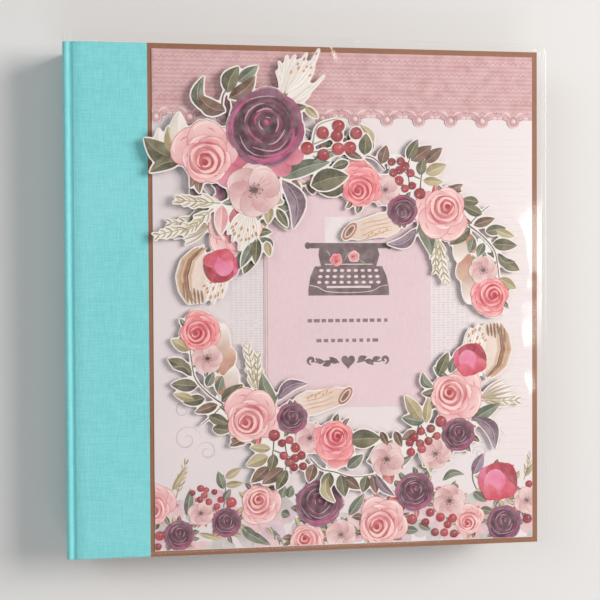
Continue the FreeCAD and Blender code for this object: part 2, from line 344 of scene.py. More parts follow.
def addRibbon(sheaf, path, widths, level, middle, edge, foot=True):
    # a stem, vein or petal rim: a closed thin strip along a path, as wide as widths says
    if sheaf["printed"]:
        left, tail, right, head = artWindow
        if any(not (left < p[0] < right and tail < p[1] < head) for p in path):
            return
    start, count = len(sheaf["verts"]), len(path)
    top = level + paint["thick"]
    sides = []
    for i, (px, py) in enumerate(path):
        ax, ay = path[max(i - 1, 0)]
        bx, by = path[min(i + 1, count - 1)]
        length = math.hypot(bx - ax, by - ay) or 1
        nx, ny = -(by - ay) / length, (bx - ax) / length
        w = max(widths[i], 0.05) / 2
        sides.append(((px + nx * w, py + ny * w), (px - nx * w, py - ny * w)))
    rows = [[s[0] for s in sides], list(path), [s[1] for s in sides]]
    for row, z, tint in ((0, top, edge), (1, top + 0.004, middle), (2, top, edge), (0, level, edge),
                         (2, level, edge)):
        for px, py in rows[row]:
            x, y = spot(px, py)
            sheaf["verts"].append((x, y, z * mm))
            sheaf["tints"].append(tint)
    l, m, r, lb, rb = (start + k * count for k in range(5))
    for i in range(count - 1):
        sheaf["faces"] += [(m + i, m + i + 1, l + i + 1, l + i), (r + i, r + i + 1, m + i + 1, m + i),
                           (l + i, l + i + 1, lb + i + 1, lb + i), (rb + i, rb + i + 1, r + i + 1, r + i),
                           (lb + i, lb + i + 1, rb + i + 1, rb + i)]
    e = count - 1
    sheaf["faces"] += [(l, lb, rb, r, m), (m + e, r + e, rb + e, lb + e, l + e)]
    if foot:
        sheaf["outlines"].append(rows[0] + rows[2][::-1])


def roundOutline(cx, cy, rx, ry, angle, count=18, wave=0.0, waves=3, phase=0.0):
    points = []
    for i in range(count):
        a = 2 * math.pi * i / count
        r = 1 + wave * math.sin(waves * a + phase)
        x, y = rx * r * math.cos(a), ry * r * math.sin(a)
        points.append((cx + x * math.cos(angle) - y * math.sin(angle),
                       cy + x * math.sin(angle) + y * math.cos(angle)))
    return points


def arcPath(cx, cy, radius, start, span, count=11):
    path = []
    for i in range(count):
        a = start + span * (i / (count - 1) - 0.5)
        path.append((cx + radius * math.cos(a), cy + radius * math.sin(a)))
    return path


def taper(width, count):
    return [width * math.sin(math.pi * (i + 0.35) / (count - 0.3)) ** 0.7 for i in range(count)]


# ---- flowers ----

pinks = {"outer": (tone(220, 146, 154), tone(250, 218, 212)), "middle": (tone(214, 126, 132), tone(242, 184, 182)),
         "cup": (tone(196, 84, 88), tone(216, 116, 118)), "light": tone(250, 208, 202), "deep": tone(164, 54, 62),
         "edge": tone(198, 84, 98)}
brightPinks = {"outer": (tone(220, 106, 122), tone(250, 182, 178)),
               "middle": (tone(214, 92, 108), tone(240, 142, 148)),
               "cup": (tone(198, 62, 76), tone(220, 94, 106)), "light": tone(250, 184, 182),
               "deep": tone(156, 44, 54),
               "edge": tone(194, 58, 80)}
plums = {"outer": (tone(104, 66, 80), tone(150, 98, 120)), "body": (tone(98, 64, 74), tone(126, 84, 98)),
         "light": tone(216, 166, 184), "deep": tone(80, 52, 62), "edge": tone(206, 88, 136)}
blush = {"petal": (tone(218, 172, 172), tone(246, 224, 218)), "edge": tone(200, 148, 150), "heart": tone(92, 72, 72),
         "dust": tone(156, 128, 122)}
olive = (tone(86, 84, 62), tone(142, 134, 102))
sage = (tone(90, 96, 80), tone(154, 158, 136))
bark = (tone(100, 72, 60), tone(156, 124, 102))
tan = (tone(160, 142, 102), tone(208, 194, 156))
plumLeaf = (tone(114, 84, 98), tone(176, 154, 168))
cream = (tone(226, 212, 200), tone(246, 240, 234))
russet = (tone(176, 84, 84), tone(222, 146, 140))


def ruffles(sheaf, u, v, r, z, turn, drift, table, chance):
    # petals one inside the other, each lit on its own side, with rims drawn along part of their edge
    for k, (size, inner, rim, lines) in enumerate(table):
        far, start = drift * k / len(table) * r, chance.uniform(0, 6.28)
        shape = roundOutline(u + far * math.cos(turn), v + far * math.sin(turn), size * r, 0.93 * size * r, start, 24,
                             0.035,
                             3 + k % 3, chance.uniform(0, 6))
        addPatch(sheaf, shape, z, inner, rim, turn + 2.4 * k, 0, foot=False)
        z += paint["step"]
        for shade, width, length, side in lines:
            first = int(((turn + side - start) % 6.28) / 6.28 * 24) - length // 2
            run = [shape[(first + i) % 24] for i in range(length)]
            addRibbon(sheaf, run, taper(width * r, length), z, shade, mixTone(shade, rim, 0.55), foot=False)
            z += 0.5 * paint["step"]
    return z


def rose(sheaf, u, v, r, colours, level, seed, skirt=None):
    # pale skirt petals on one side, then a bowl of folded petals that closes on a deep heart
    chance = random.Random(seed)
    su, sv, grow = skirt or (0, 0, 1)
    lean = math.atan2(sv, su) if su or sv else chance.uniform(0, 6.28)
    outerIn, outerRim = colours["outer"]
    middleIn, middleRim = colours["middle"]
    light, deep, edge, cup = colours["light"], colours["deep"], colours["edge"], colours["cup"]
    z = level
    skirts = [(0.58 * grow, angle, 0.5 * grow, 0.56 * grow, outerIn, outerRim) for angle in (-0.95, 0.9, -0.1)]
    skirts += [(0.46, 0.5 + i * math.pi / 3 + chance.uniform(-0.15, 0.15), 0.47, 0.56,
                mixTone(outerIn, edge, 0.3 * (i % 2)), mixTone(outerRim, middleRim, 0.4 * (i % 3))) for i in range(6)]
    for reach, angle, rx, ry, inner, rim in skirts:
        a = lean + angle
        cx, cy, phase = u + reach * r * math.cos(a), v + reach * r * math.sin(a), chance.uniform(0, 6)
        line = mixTone(inner, edge, 0.5)
        addPatch(sheaf, roundOutline(cx, cy, rx * r * 1.03, ry * r * 1.03, a, 18, 0.05, 3, phase), z - 0.004, line,
                 line, foot=False)
        addPatch(sheaf, roundOutline(cx, cy, rx * r, ry * r, a, 18, 0.05, 3, phase), z, inner, rim, a, 0)
        for far, shift, span, width, middle, side in ((0.88, 0.4, 1.3, 0.07, mixTone(rim, cream[1], 0.5), rim),
                                                      (0.6, -0.5, 0.9, 0.05, mixTone(inner, edge, 0.3), inner)):
            addRibbon(sheaf, arcPath(cx, cy, far * rx * r, a + shift, span), taper(width * r, 11), z + 0.003, middle,
                      side,
                      foot=False)
        z += paint["step"]
    return ruffles(sheaf, u, v, r, z, lean + 2.6, 0.14, (
        (0.73, mixTone(edge, middleIn, 0.25), outerRim, ((light, 0.10, 9, 0.4), (edge, 0.05, 7, 3.0))),
        (0.65, middleIn, mixTone(outerRim, light, 0.5), ((light, 0.12, 8, 2.6), (deep, 0.05, 8, -0.6))),
        (0.57, edge, middleRim, ((light, 0.11, 7, -1.5), (deep, 0.06, 7, 1.6))),
        (0.48, middleIn, outerRim, ((deep, 0.06, 9, 3.6), (light, 0.10, 7, 0.9))),
        (0.39, cup[0], middleRim, ((light, 0.10, 9, 2.4), (deep, 0.05, 6, 0.0))),
        (0.31, mixTone(cup[0], deep, 0.4), cup[1], ((light, 0.09, 7, -1.0), (deep, 0.06, 6, 2.2))),
        (0.22, cup[0], middleRim, ((light, 0.07, 8, 1.2),)),
        (0.14, deep, cup[0], ((middleRim, 0.06, 9, 3.3),))), chance)


def plumRose(sheaf, u, v, r, level, seed, glow=0.6):
    # a dark garden rose: deep ruffled petals with thin pale rims and a magenta side
    chance = random.Random(seed)
    z = level
    inner, rim = plums["outer"]
    for i in range(7):
        a = seed + i * 2 * math.pi / 7
        shape = roundOutline(u + 0.47 * r * math.cos(a), v + 0.47 * r * math.sin(a), 0.5 * r, 0.56 * r, a, 18, 0.03,
                             3, 2 * i)
        addPatch(sheaf, shape, z, inner, rim if i % 3 else mixTone(rim, plums["edge"], 0.35 * glow), a, 0)
        z += paint["step"]
        if i % 2:
            addRibbon(sheaf, shape[-3:] + shape[:4], taper(0.045 * r, 7), z - 0.004,
                      mixTone(plums["light"], rim, 0.4), rim,
                      foot=False)
    body, lit = plums["body"]
    deep, pale, hot = plums["deep"], plums["light"], mixTone(rim, plums["edge"], glow)
    warm = mixTone(body, hot, 0.35)
    z = ruffles(sheaf, u, v, r, z, 1.3, 0.16, (
        (0.84, deep, mixTone(lit, rim, 0.5), ((hot, 0.13, 8, -2.3), (pale, 0.03, 6, 0.9), (hot, 0.09, 6, 1.7))),
        (0.75, body, deep, ((hot, 0.10, 8, -1.9), (pale, 0.035, 5, 2.7))),
        (0.66, deep, warm, ((pale, 0.04, 7, -2.6), (lit, 0.07, 8, 0.4))),
        (0.57, body, lit, ((pale, 0.045, 6, 1.2), (deep, 0.08, 9, -1.4))),
        (0.48, deep, body, ((pale, 0.05, 6, -2.0), (hot, 0.06, 6, 2.9))),
        (0.39, body, warm, ((pale, 0.05, 5, 0.6), (deep, 0.07, 8, 3.2))),
        (0.30, deep, lit, ((pale, 0.045, 6, -1.2), (hot, 0.05, 6, 1.6))),
        (0.21, body, deep, ((pale, 0.045, 6, 2.4),)),
        (0.12, warm, deep, ((pale, 0.03, 5, 0.2),))), chance)
    addPatch(sheaf, roundOutline(u + 0.02 * r, v + 0.13 * r, 0.05 * r, 0.07 * r, 0.6, 10), z, plums["edge"], hot,
             foot=False)
    return z


def anemone(sheaf, u, v, r, level, seed):
    chance = random.Random(seed)
    z = level
    for i in range(6):
        a = seed + i * 2 * math.pi / 6 * 1.02 + chance.uniform(-0.1, 0.1)
        cx, cy = u + 0.47 * r * math.cos(a), v + 0.47 * r * math.sin(a)
        size = r * chance.uniform(0.5, 0.57)
        tint = mixTone(blush["petal"][0], blush["edge"], chance.uniform(0, 0.6))
        phase = chance.uniform(0, 6)
        for grow, inner, rim in ((1.025, blush["edge"], mixTone(blush["edge"], blush["petal"][1], 0.3)),
                                 (1, tint, blush["petal"][1])):
            addPatch(sheaf, roundOutline(cx, cy, grow * size, grow * size * 1.15, a, 18, 0.05, 3, phase), z, inner,
                     rim,
                     a + 0.7, 0)
            z += 0.6 * paint["step"]
        z += paint["step"]
        addRibbon(sheaf, arcPath(cx, cy, size * 0.92, a + 0.9, 1.6), taper(0.05 * r, 11), z, blush["edge"],
                  blush["petal"][1], foot=False)
        for spread in (-0.25, 0.1, 0.35):
            b = a + spread
            addRibbon(sheaf, [(u + t * r * math.cos(b), v + t * r * math.sin(b)) for t in (0.2, 0.35, 0.5, 0.65)],
                      taper(0.04 * r, 4), z, blush["edge"], blush["petal"][0], foot=False)
        z += paint["step"]
    addPatch(sheaf, roundOutline(u, v, 0.3 * r, 0.27 * r, 0, 16, 0.12, 5), z, blush["dust"], blush["petal"][0],
             foot=False)
    z += paint["step"]
    for k in range(24):
        a, far = 0.8 * k, r * chance.uniform(0.15, 0.32)
        addPatch(sheaf, roundOutline(u + far * math.cos(a), v + far * math.sin(a), 0.03 * r, 0.03 * r, 0, 7),
                 z + 0.0005 * k,
                 blush["heart"], blush["dust"], foot=False)
    addPatch(sheaf, roundOutline(u, v, 0.15 * r, 0.13 * r, 0, 14, 0.08, 5), z + paint["step"], blush["heart"],
             mixTone(blush["heart"], blush["dust"], 0.5), foot=False)
    return z + 2 * paint["step"]


def bud(sheaf, u, v, r, level, turn):
    # a plump peony bud: deep side petals behind one bright round petal
    bright, mid, dark = tone(228, 122, 156), tone(206, 76, 96), tone(146, 52, 58)
    shapes = [
        (-0.35, 0.25, 0.62, 0.7, mid, bright), (0.55, 0.15, 0.48, 0.75, dark, mid),
        (0.1, 0.62, 0.62, 0.42, dark, mid),
        (-0.1, -0.1, 0.8, 0.72, mid, tone(222, 104, 128)), (0.35, -0.42, 0.5, 0.42, mid, tone(226, 112, 130)),
        (-0.12, 0.12, 0.55, 0.62, bright, tone(236, 150, 180)), (-0.45, -0.3, 0.4, 0.45, mid, tone(232, 126, 142)),
    ]
    z = level
    for dx, dy, rx, ry, inner, rim in shapes:
        cx = u + r * (dx * math.cos(turn) - dy * math.sin(turn))
        cy = v + r * (dx * math.sin(turn) + dy * math.cos(turn))
        addPatch(sheaf, roundOutline(cx, cy, rx * r, ry * r, turn, 20, 0.03, 3, dx * 9), z, inner, rim, turn + 1.9,
                 0.05)
        z += paint["step"] * 2
    for k in range(3):
        addRibbon(sheaf, arcPath(u - 0.1 * r, v, r * (0.6 - 0.14 * k), turn + 2.2 + k, 1.2), taper(0.06 * r, 11), z,
                  tone(248, 196, 208), mid, foot=False)
    return z


def leafHalves(base, tip, width, bend=0.0, count=9):
    # both edges and the midrib of a pointed leaf that may bend to one side
    dx, dy = tip[0] - base[0], tip[1] - base[1]
    length = math.hypot(dx, dy)
    ax, ay = dx / length, dy / length
    rib, left, right = [], [], []
    for i in range(count):
        t = i / (count - 1)
        side = bend * length * math.sin(math.pi * t)
        x, y = base[0] + dx * t - ay * side, base[1] + dy * t + ax * side
        w = width / 2 * math.sin(math.pi * t ** 0.82) ** 0.85
        rib.append((x, y))
        left.append((x - ay * w, y + ax * w))
        right.append((x + ay * w, y - ax * w))
    return rib, left, right


def leaf(sheaf, bu, bv, tu, tv, width, colours, level, bend=0.0):
    rib, left, right = leafHalves((bu, bv), (tu, tv), width, bend)
    dark, light = colours
    angle = math.atan2(tv - bv, tu - bu)
    middle = mixTone(dark, light, 0.4)
    addPatch(sheaf, rib + left[-2:0:-1], level, dark, middle, angle, 0.006)
    addPatch(sheaf, rib + right[-2:0:-1], level + 0.002, middle, light, angle + 0.6, 0.006)
    addRibbon(sheaf, rib, taper(0.35, len(rib)), level + 0.01, mixTone(light, cream[1], 0.5), light, foot=False)
    for k in range(2, 7 if width > 4 else 2):
        for side in (left, right):
            p, q = rib[k], side[min(k + 1, 8)]
            end = (p[0] + (q[0] - p[0]) * 0.75, p[1] + (q[1] - p[1]) * 0.75)
            addRibbon(sheaf, [p, end], [0.22, 0.1], level + 0.0095, mixTone(light, dark, 0.2), middle, foot=False)


def leaves(sheaf, table, level, steps=9):
    # a table of leaves, each a little above the one before
    for k, (bu, bv, tu, tv, width, colours, *bend) in enumerate(table):
        leaf(sheaf, bu, bv, tu, tv, width, colours, level + 0.014 * (k % steps), bend[0] if bend else 0.0)


def stem(sheaf, path, width, colour, level):
    smooth = []
    for i in range(len(path) - 1):
        a, b = path[max(i - 1, 0)], path[i]
        c, d = path[i + 1], path[min(i + 2, len(path) - 1)]
        for k in range(4):
            t = k / 4
            smooth.append(tuple(0.5 * (2 * b[m] + (c[m] - a[m]) * t + (2 * a[m] - 5 * b[m] + 4 * c[m] - d[m]) * t * t
                                       + (3 * b[m] - a[m] - 3 * c[m] + d[m]) * t ** 3) for m in (0, 1)))
    smooth.append(path[-1])
    addRibbon(sheaf, smooth, [width * (1 - 0.5 * i / len(smooth)) for i in range(len(smooth))], level, colour,
              mixTone(colour, cream[0], 0.3))


def leafRing(sheaf, u, v, r, level, seed, count=6):
    # small leaves that peep out from under a flower
    chance = random.Random(seed)
    kinds = (olive, bark, sage, tan, olive, russet)
    for k in range(count):
        a = 6.28 * ((k + chance.uniform(0.2, 0.8)) / count - 0.5)
        near, far = 0.7 * r, r * chance.uniform(1.1, 1.32)
        turn = a + chance.uniform(-0.35, 0.35)
        leaf(sheaf, u + near * math.cos(a), v + near * math.sin(a), u + far * math.cos(turn),
             v + far * math.sin(turn),
             r * chance.uniform(0.22, 0.34), kinds[chance.randrange(6)],
             level + 0.009 * (k % 5) + 0.0007 * (seed % 12),
             chance.uniform(-0.15, 0.15))


def needleSprig(sheaf, bu, bv, tu, tv, colours, level, seed, needle=5.0, pairs=8):
    chance = random.Random(seed)
    angle = math.atan2(tv - bv, tu - bu)
    stem(sheaf, [(bu, bv), ((bu + tu) / 2, (bv + tv) / 2), (tu, tv)], 0.6, colours[0], level)
    for i in range(1, pairs + 1):
        t = i / pairs
        x, y = bu + (tu - bu) * t, bv + (tv - bv) * t
        for side in (-1, 1):
            a = angle + side * chance.uniform(0.5, 0.95)
            size = needle * (1.35 - 0.55 * t) * chance.uniform(0.8, 1.15)
            path = [(x + size * s * math.cos(a - side * 0.25 * s), y + size * s * math.sin(a - side * 0.25 * s))
                    for s in (0, 0.35, 0.7, 1)]
            addRibbon(sheaf, path, taper(0.85, 4), level + 0.02, colours[i % 2], mixTone(colours[0], colours[1], 0.6))


def plume(sheaf, bu, bv, tips, width, colours, level, seed, flecks=None, bend=0.24):
    # a feather or grass head: one slim blade to each tip, some with gold flecks
    chance = random.Random(seed)
    for i, (tu, tv) in enumerate(tips):
        rib, left, right = leafHalves((bu, bv), (tu, tv), width * chance.uniform(0.8, 1.2),
                                      bend * (i / len(tips) - 0.5))
        angle = math.atan2(tv - bv, tu - bu)
        tint = mixTone(colours[0], colours[1], chance.random())
        z = level + 0.011 * (3 * i % 8)
        addPatch(sheaf, left + right[-2:0:-1], z, tint, colours[1], angle, 0.005)
        addRibbon(sheaf, rib, taper(0.35, 9), z + 0.006, mixTone(colours[0], bark[1], 0.45), colours[0], foot=False)
        if flecks:
            for k in (5, 7) if i % 2 else (6,):
                x, y = rib[k][0] + chance.uniform(-0.6, 0.6), rib[k][1] + chance.uniform(-0.6, 0.6)
                addPatch(sheaf, roundOutline(x, y, chance.uniform(0.8, 1.6), 0.6, angle, 8), level + 0.1 + 0.003 * i,
                         flecks,
                         mixTone(flecks, cream[0], 0.3), foot=False)


def fanTips(bu, bv, tu, tv, spread, count):
    angle, length = math.atan2(tv - bv, tu - bu), math.hypot(tu - bu, tv - bv)
    places = [i / (count - 1) - 0.5 for i in range(count)]
    reach = [length * (1 - 0.45 * abs(f)) * (1 - 0.16 * (i % 2)) for i, f in enumerate(places)]
    return [(bu + far * math.cos(angle + spread * f), bv + far * math.sin(angle + spread * f))
            for far, f in zip(reach, places)]


def brownFeather(sheaf, level):
    # the curved brown plume beside the bud: a cream vane with tan and brown strokes along it
    spine = [(237, 126), (240.5, 119), (241.5, 111), (239, 102.5), (233.5, 97), (229, 94)]
    vane = spine + [(228.5, 99), (229, 108), (227.5, 117), (228, 125)]
    addPatch(sheaf, vane, level, tone(230, 206, 190), tone(244, 230, 222), 0, 0)
    strokes = ((0.6, 3.6, tone(196, 156, 124), tone(222, 194, 168)),
               (-2.2, 2.4, tone(146, 104, 80), tone(188, 148, 118)),
               (-5.0, 2.2, tone(206, 172, 146), tone(232, 210, 192)),
               (-3.6, 0.8, tone(112, 76, 58), tone(150, 108, 84)))
    for k, (inward, width, middle, edge) in enumerate(strokes):
        path = [(x + inward * math.cos((y - 110) / 28), y) for x, y in spine]
        smooth = [tuple(path[i][m] + (path[i + 1][m] - path[i][m]) * t for m in (0, 1)) for i in range(5) for t in (0,
              0.5)]
        addRibbon(sheaf, smooth, taper(width, len(smooth)), level + 0.02 + 0.012 * k, middle, edge, k == 0)
    for k, (x, y) in enumerate(((229.5, 125.5), (231.5, 126), (233.5, 126), (235.5, 126), (237.5, 125),
                                (239.5, 123))):
        path = [(x + 0.3 * m, y - (2.2 + 0.3 * (k % 3)) * m) for m in range(4)]
        addRibbon(sheaf, path, taper(1.5, 4), level + 0.09, tone(132, 98, 80), tone(190, 158, 134), False)


def berry(sheaf, u, v, r, level, dark=0.0):
    inner = mixTone(tone(206, 92, 96), tone(140, 60, 64), dark)
    rim = mixTone(tone(172, 62, 68), tone(116, 48, 54), dark)
    addPatch(sheaf, roundOutline(u, v, r, r, 0, 16, 0.02, 3, u), level, inner, rim, None, 0.08)
    addPatch(sheaf, roundOutline(u + 0.25 * r, v + 0.3 * r, 0.16 * r, 0.1 * r, 0.7, 8), level + 0.1,
             tone(244, 206, 204), tone(232, 170, 170), foot=False)
    addPatch(sheaf, roundOutline(u - 0.1 * r, v - 0.15 * r, 0.13 * r, 0.13 * r, 0, 7), level + 0.1,
             tone(96, 44, 48), tone(150, 66, 70), foot=False)


# ---- where everything is drawn: a half wreath, turned once about its middle ----

wreath = {"middle": (149.4, 132.2), "level": wreathHigh.z / mm, "border": 0.85}
bouquet = {"level": bouquetHigh.z / mm, "border": 1.0}


def halfWreath(sheaf, level):
    low, mid, high = level, level + 0.21, level + 0.25
    # stems and leaves, from the left side down and round to the lower right
    stem(sheaf, [(80, 83), (72, 89), (65, 97), (63, 106), (62, 114)], 0.9, bark[0], low)
    stem(sheaf, [(80, 83), (74, 77), (68, 72)], 0.7, bark[0], low)
    stem(sheaf, [(110, 88), (107, 78), (106, 66)], 1.0, sage[0], low)
    stem(sheaf, [(108, 66), (107, 55), (104, 48)], 0.9, olive[0], low)
    stem(sheaf, [(114, 60), (115, 50), (112, 42)], 0.8, olive[0], low)
    stem(sheaf, [(128, 52), (134, 46), (142, 44), (152, 41), (166, 42)], 0.8, bark[0], low)
    leaves(sheaf, [
        (61, 103, 50, 108.5, 6.5, olive), (63, 99, 52.5, 103.5, 5.5, olive, -0.25), (66, 93.5, 51.5, 94.5, 7, olive),
        (70, 86.5, 58, 84.5, 6, olive), (64, 86, 53, 89.5, 4.5, tan), (77, 83, 64.5, 79, 5.5, bark),
        (72, 77, 83.5, 72, 6, olive), (74, 70, 84, 68.5, 5.5, olive), (79, 84.5, 91, 94, 7.5, olive),
        (71, 93, 75, 101, 5, sage), (77, 90, 79.5, 99, 5, sage), (62, 113, 52, 119, 6, tan),
        (109, 83, 101.5, 100, 7.5, sage, 0.12), (110, 85, 127, 93.5, 6.5, plumLeaf, 0.2),
        (84, 64, 92, 61, 4, bark), (92, 64, 83, 60, 4, bark), (106, 58, 94.5, 59, 5, tan),
        (104.5, 54, 92.5, 49, 7, tan),
        (108, 55, 106, 45.5, 6, olive), (105, 48, 95, 39.5, 6.5, bark), (113, 47, 101, 38.5, 7.5, bark),
        (115, 46, 109, 35, 6, olive), (130, 49, 127, 38.5, 6.5, bark), (139, 44, 136, 33, 7, olive),
        (145, 42.5, 147.5, 30, 7, olive), (137, 41, 142, 27, 5.5, tan, -0.2), (149, 46, 158, 53.5, 6, sage),
        (150, 62, 168, 62.5, 10.5, olive), (147, 41, 156, 34, 6, bark), (160, 41.5, 157.5, 32, 6, olive),
        (163, 42, 165.5, 31, 5, bark), (165, 42, 176, 29.5, 4.5, plumLeaf, -0.1), (176, 46, 186, 52, 4, sage),
        (171, 46, 174, 36, 7, russet), (193, 71, 180, 73.5, 6.5, sage), (191.5, 72, 182, 86, 7, tan),
        (194, 70, 195.5, 85, 5, tan), (198, 90, 192, 99, 5, sage, 0.2), (201, 97, 207, 110, 6.5, olive),
        (208, 98, 211, 108, 5, sage), (220, 71, 237.5, 80.5, 7, sage), (222, 73, 234, 54, 8, plumLeaf, 0.22),
        (176, 66, 180, 57, 4.5, bark), (168, 66, 172, 58, 4, bark), (188, 66, 180, 61, 5, bark),
    ], low + 0.05)
    needleSprig(sheaf, 98, 88, 94, 113, tan, low + 0.04, 3, 5.5, 7)
    needleSprig(sheaf, 99, 88, 99, 108, tan, low + 0.05, 5, 4.5, 6)
    plume(sheaf, 226, 84, fanTips(226, 84, 248, 88, 0.9, 7), 1.6, (tan[0], cream[0]), low + 0.03, 8)
    needleSprig(sheaf, 224, 82, 246, 82, tan, low + 0.06, 9, 4.5, 6)
    # brown feather beside the bud, gold-flecked plume, cream and brown petals, driftwood
    brownFeather(sheaf, low + 0.02)
    plume(sheaf, 219, 106, fanTips(219, 106, 227, 128, 0.6, 7), 3.0, cream, low + 0.1, 13, tone(206, 142, 74))
    for cu, cv, rx, ry, turn, tints in [(80, 118, 4.0, 9, 0.1, (tone(206, 170, 150), cream[1])),
                                        (82, 107, 4.5, 8, -0.3, (tone(196, 140, 116), tone(226, 196, 176))),
                                        (84, 96, 4.5, 8, -0.2, (tone(206, 176, 160), cream[1])),
                                        (79, 93, 3.4, 6, 0.4, (tone(176, 116, 90), tone(214, 170, 146)))]:
        addPatch(sheaf, roundOutline(cu, cv, rx, ry, turn, 18, 0.05, 3, cu), low + 0.03, *tints, 1.5, 0.02)
    driftwood(sheaf, 122, 81, 149, 87, low + 0.05)
    # flowers and berries
    for k, (x, y, r) in enumerate(((66, 122, 10), (72, 108, 8), (95, 76, 14), (128, 63, 9), (142, 63, 11),
                                   (171, 50, 9),
                                   (199, 53, 9), (210, 86, 15), (213, 63, 10), (118, 75, 9))):
        leafRing(sheaf, x, y, r, low, 80 + k, 7)
    z = mid
    rose(sheaf, 66.4, 122.5, 10.3, brightPinks, z, 4, skirt=(2.5, 2.0, 1.12))
    anemone(sheaf, 71.5, 108.4, 8.2, mid - 0.1, 2)
    rose(sheaf, 93.6, 73.6, 12.6, pinks, z, 7, skirt=(2.5, 4.0, 1.35))
    anemone(sheaf, 127.9, 63.4, 8.3, mid - 0.1, 5)
    plumRose(sheaf, 118, 74.7, 9, high, 3)
    for k, (x, y, r) in enumerate(((139.5, 53.5, 5.5), (145.5, 52.5, 5.8), (142, 50.5, 4.6))):
        addPatch(sheaf, roundOutline(x, y, r, 0.85 * r, 0.6 * k, 18, 0.06, 3, k), z - 0.04 + 0.006 * k,
                 brightPinks["edge"],
                 brightPinks["outer"][1], 4.7)
    rose(sheaf, 142.4, 63.4, 10.2, brightPinks, z, 9, skirt=(-0.5, -1.0, 1.25))
    anemone(sheaf, 171.3, 50.4, 9.6, mid - 0.1, 1)
    anemone(sheaf, 199.4, 52.8, 9, mid - 0.1, 4)
    rose(sheaf, 208.6, 86, 12.6, pinks, z, 13, skirt=(4.5, -1.5, 1.35))
    plumRose(sheaf, 212.6, 63.3, 10, high, 6)
    bud(sheaf, 219.8, 104.6, 9.6, high, 0.4)
    for x, y, r in [(108, 65.4, 3.2), (112.4, 61, 2.2), (116.5, 62.6, 2.2), (119.8, 58, 2.5), (113.3, 54, 2.3),
                    (116.5, 50.2, 2.6), (119.6, 52.4, 2.4), (123.1, 53.8, 2.4), (124, 47.8, 2.2), (118.9, 47.4, 2.3),
                    (202.6, 70.9, 3.2), (191, 65.6, 2.3), (196.7, 67, 2.4), (187, 62.4, 2.5), (184.5, 59.4, 2.2),
                    (190.4, 58.8, 2.3), (191.5, 55.6, 2.4), (185.2, 54, 2.4), (195.4, 60, 2.3), (200.2, 62.8, 2.2)]:
        berry(sheaf, x, y, r, high + 0.1, 0.35 * ((x * 7 + y) % 2))
    for x, y, tx, ty in [(108, 57, 113, 54), (108, 57, 119, 52), (110, 60, 116, 62), (190, 70, 187, 60),
                         (191, 69, 196, 58),
                         (190, 70, 184.5, 54)]:
        stem(sheaf, [(x, y), ((x + tx) / 2 + 0.6, (y + ty) / 2), (tx, ty)], 0.6, olive[0], mid)


def driftwood(sheaf, bu, bv, tu, tv, level):
    # a pale log with gold flecks and a dark cut end in a russet ring
    angle = math.atan2(tv - bv, tu - bu)
    outline = [(bu, bv - 5), (bu + 9, bv - 4.5), (tu - 3, tv - 5), (tu + 1, tv - 1), (tu, tv + 3), (tu - 6, tv + 4),
               (bu + 12, bv + 8.5), (bu + 4, bv + 8), (bu - 2, bv + 5)]
    addPatch(sheaf, outline, level, tone(236, 216, 202), tone(222, 196, 180), angle, 0)
    for k in range(4):
        path = [(bu + 2 + 3 * m, bv - 3 + 2.6 * k + 0.9 * m + 0.5 * math.sin(m + k)) for m in range(7)]
        addRibbon(sheaf, path, taper(0.7, 7), level + 0.03, tone(198, 156, 132), tone(224, 196, 178), False)
    rings = ((5.6, 2.9, tone(176, 96, 70)), (4.4, 1.9, tone(236, 206, 186)), (3.6, 1.3, tone(122, 88, 78)))
    for k, (rx, ry, shade) in enumerate(rings):
        addPatch(sheaf, roundOutline(tu - 1, tv - 0.5, rx, ry, angle + 0.7, 18), level + 0.05 + 0.015 * k, shade,
                 mixTone(shade, cream[0], 0.2), foot=k == 0)
    for k in range(7):
        x, y = bu + 5 + 2.1 * k, bv + 4.5 + 0.5 * k + (k % 2)
        addPatch(sheaf, roundOutline(x, y, 1.1, 0.45, 0.5 + 0.3 * (k % 3), 8), level + 0.05, tone(204, 138, 70),
                 tone(222, 180, 130), foot=False)


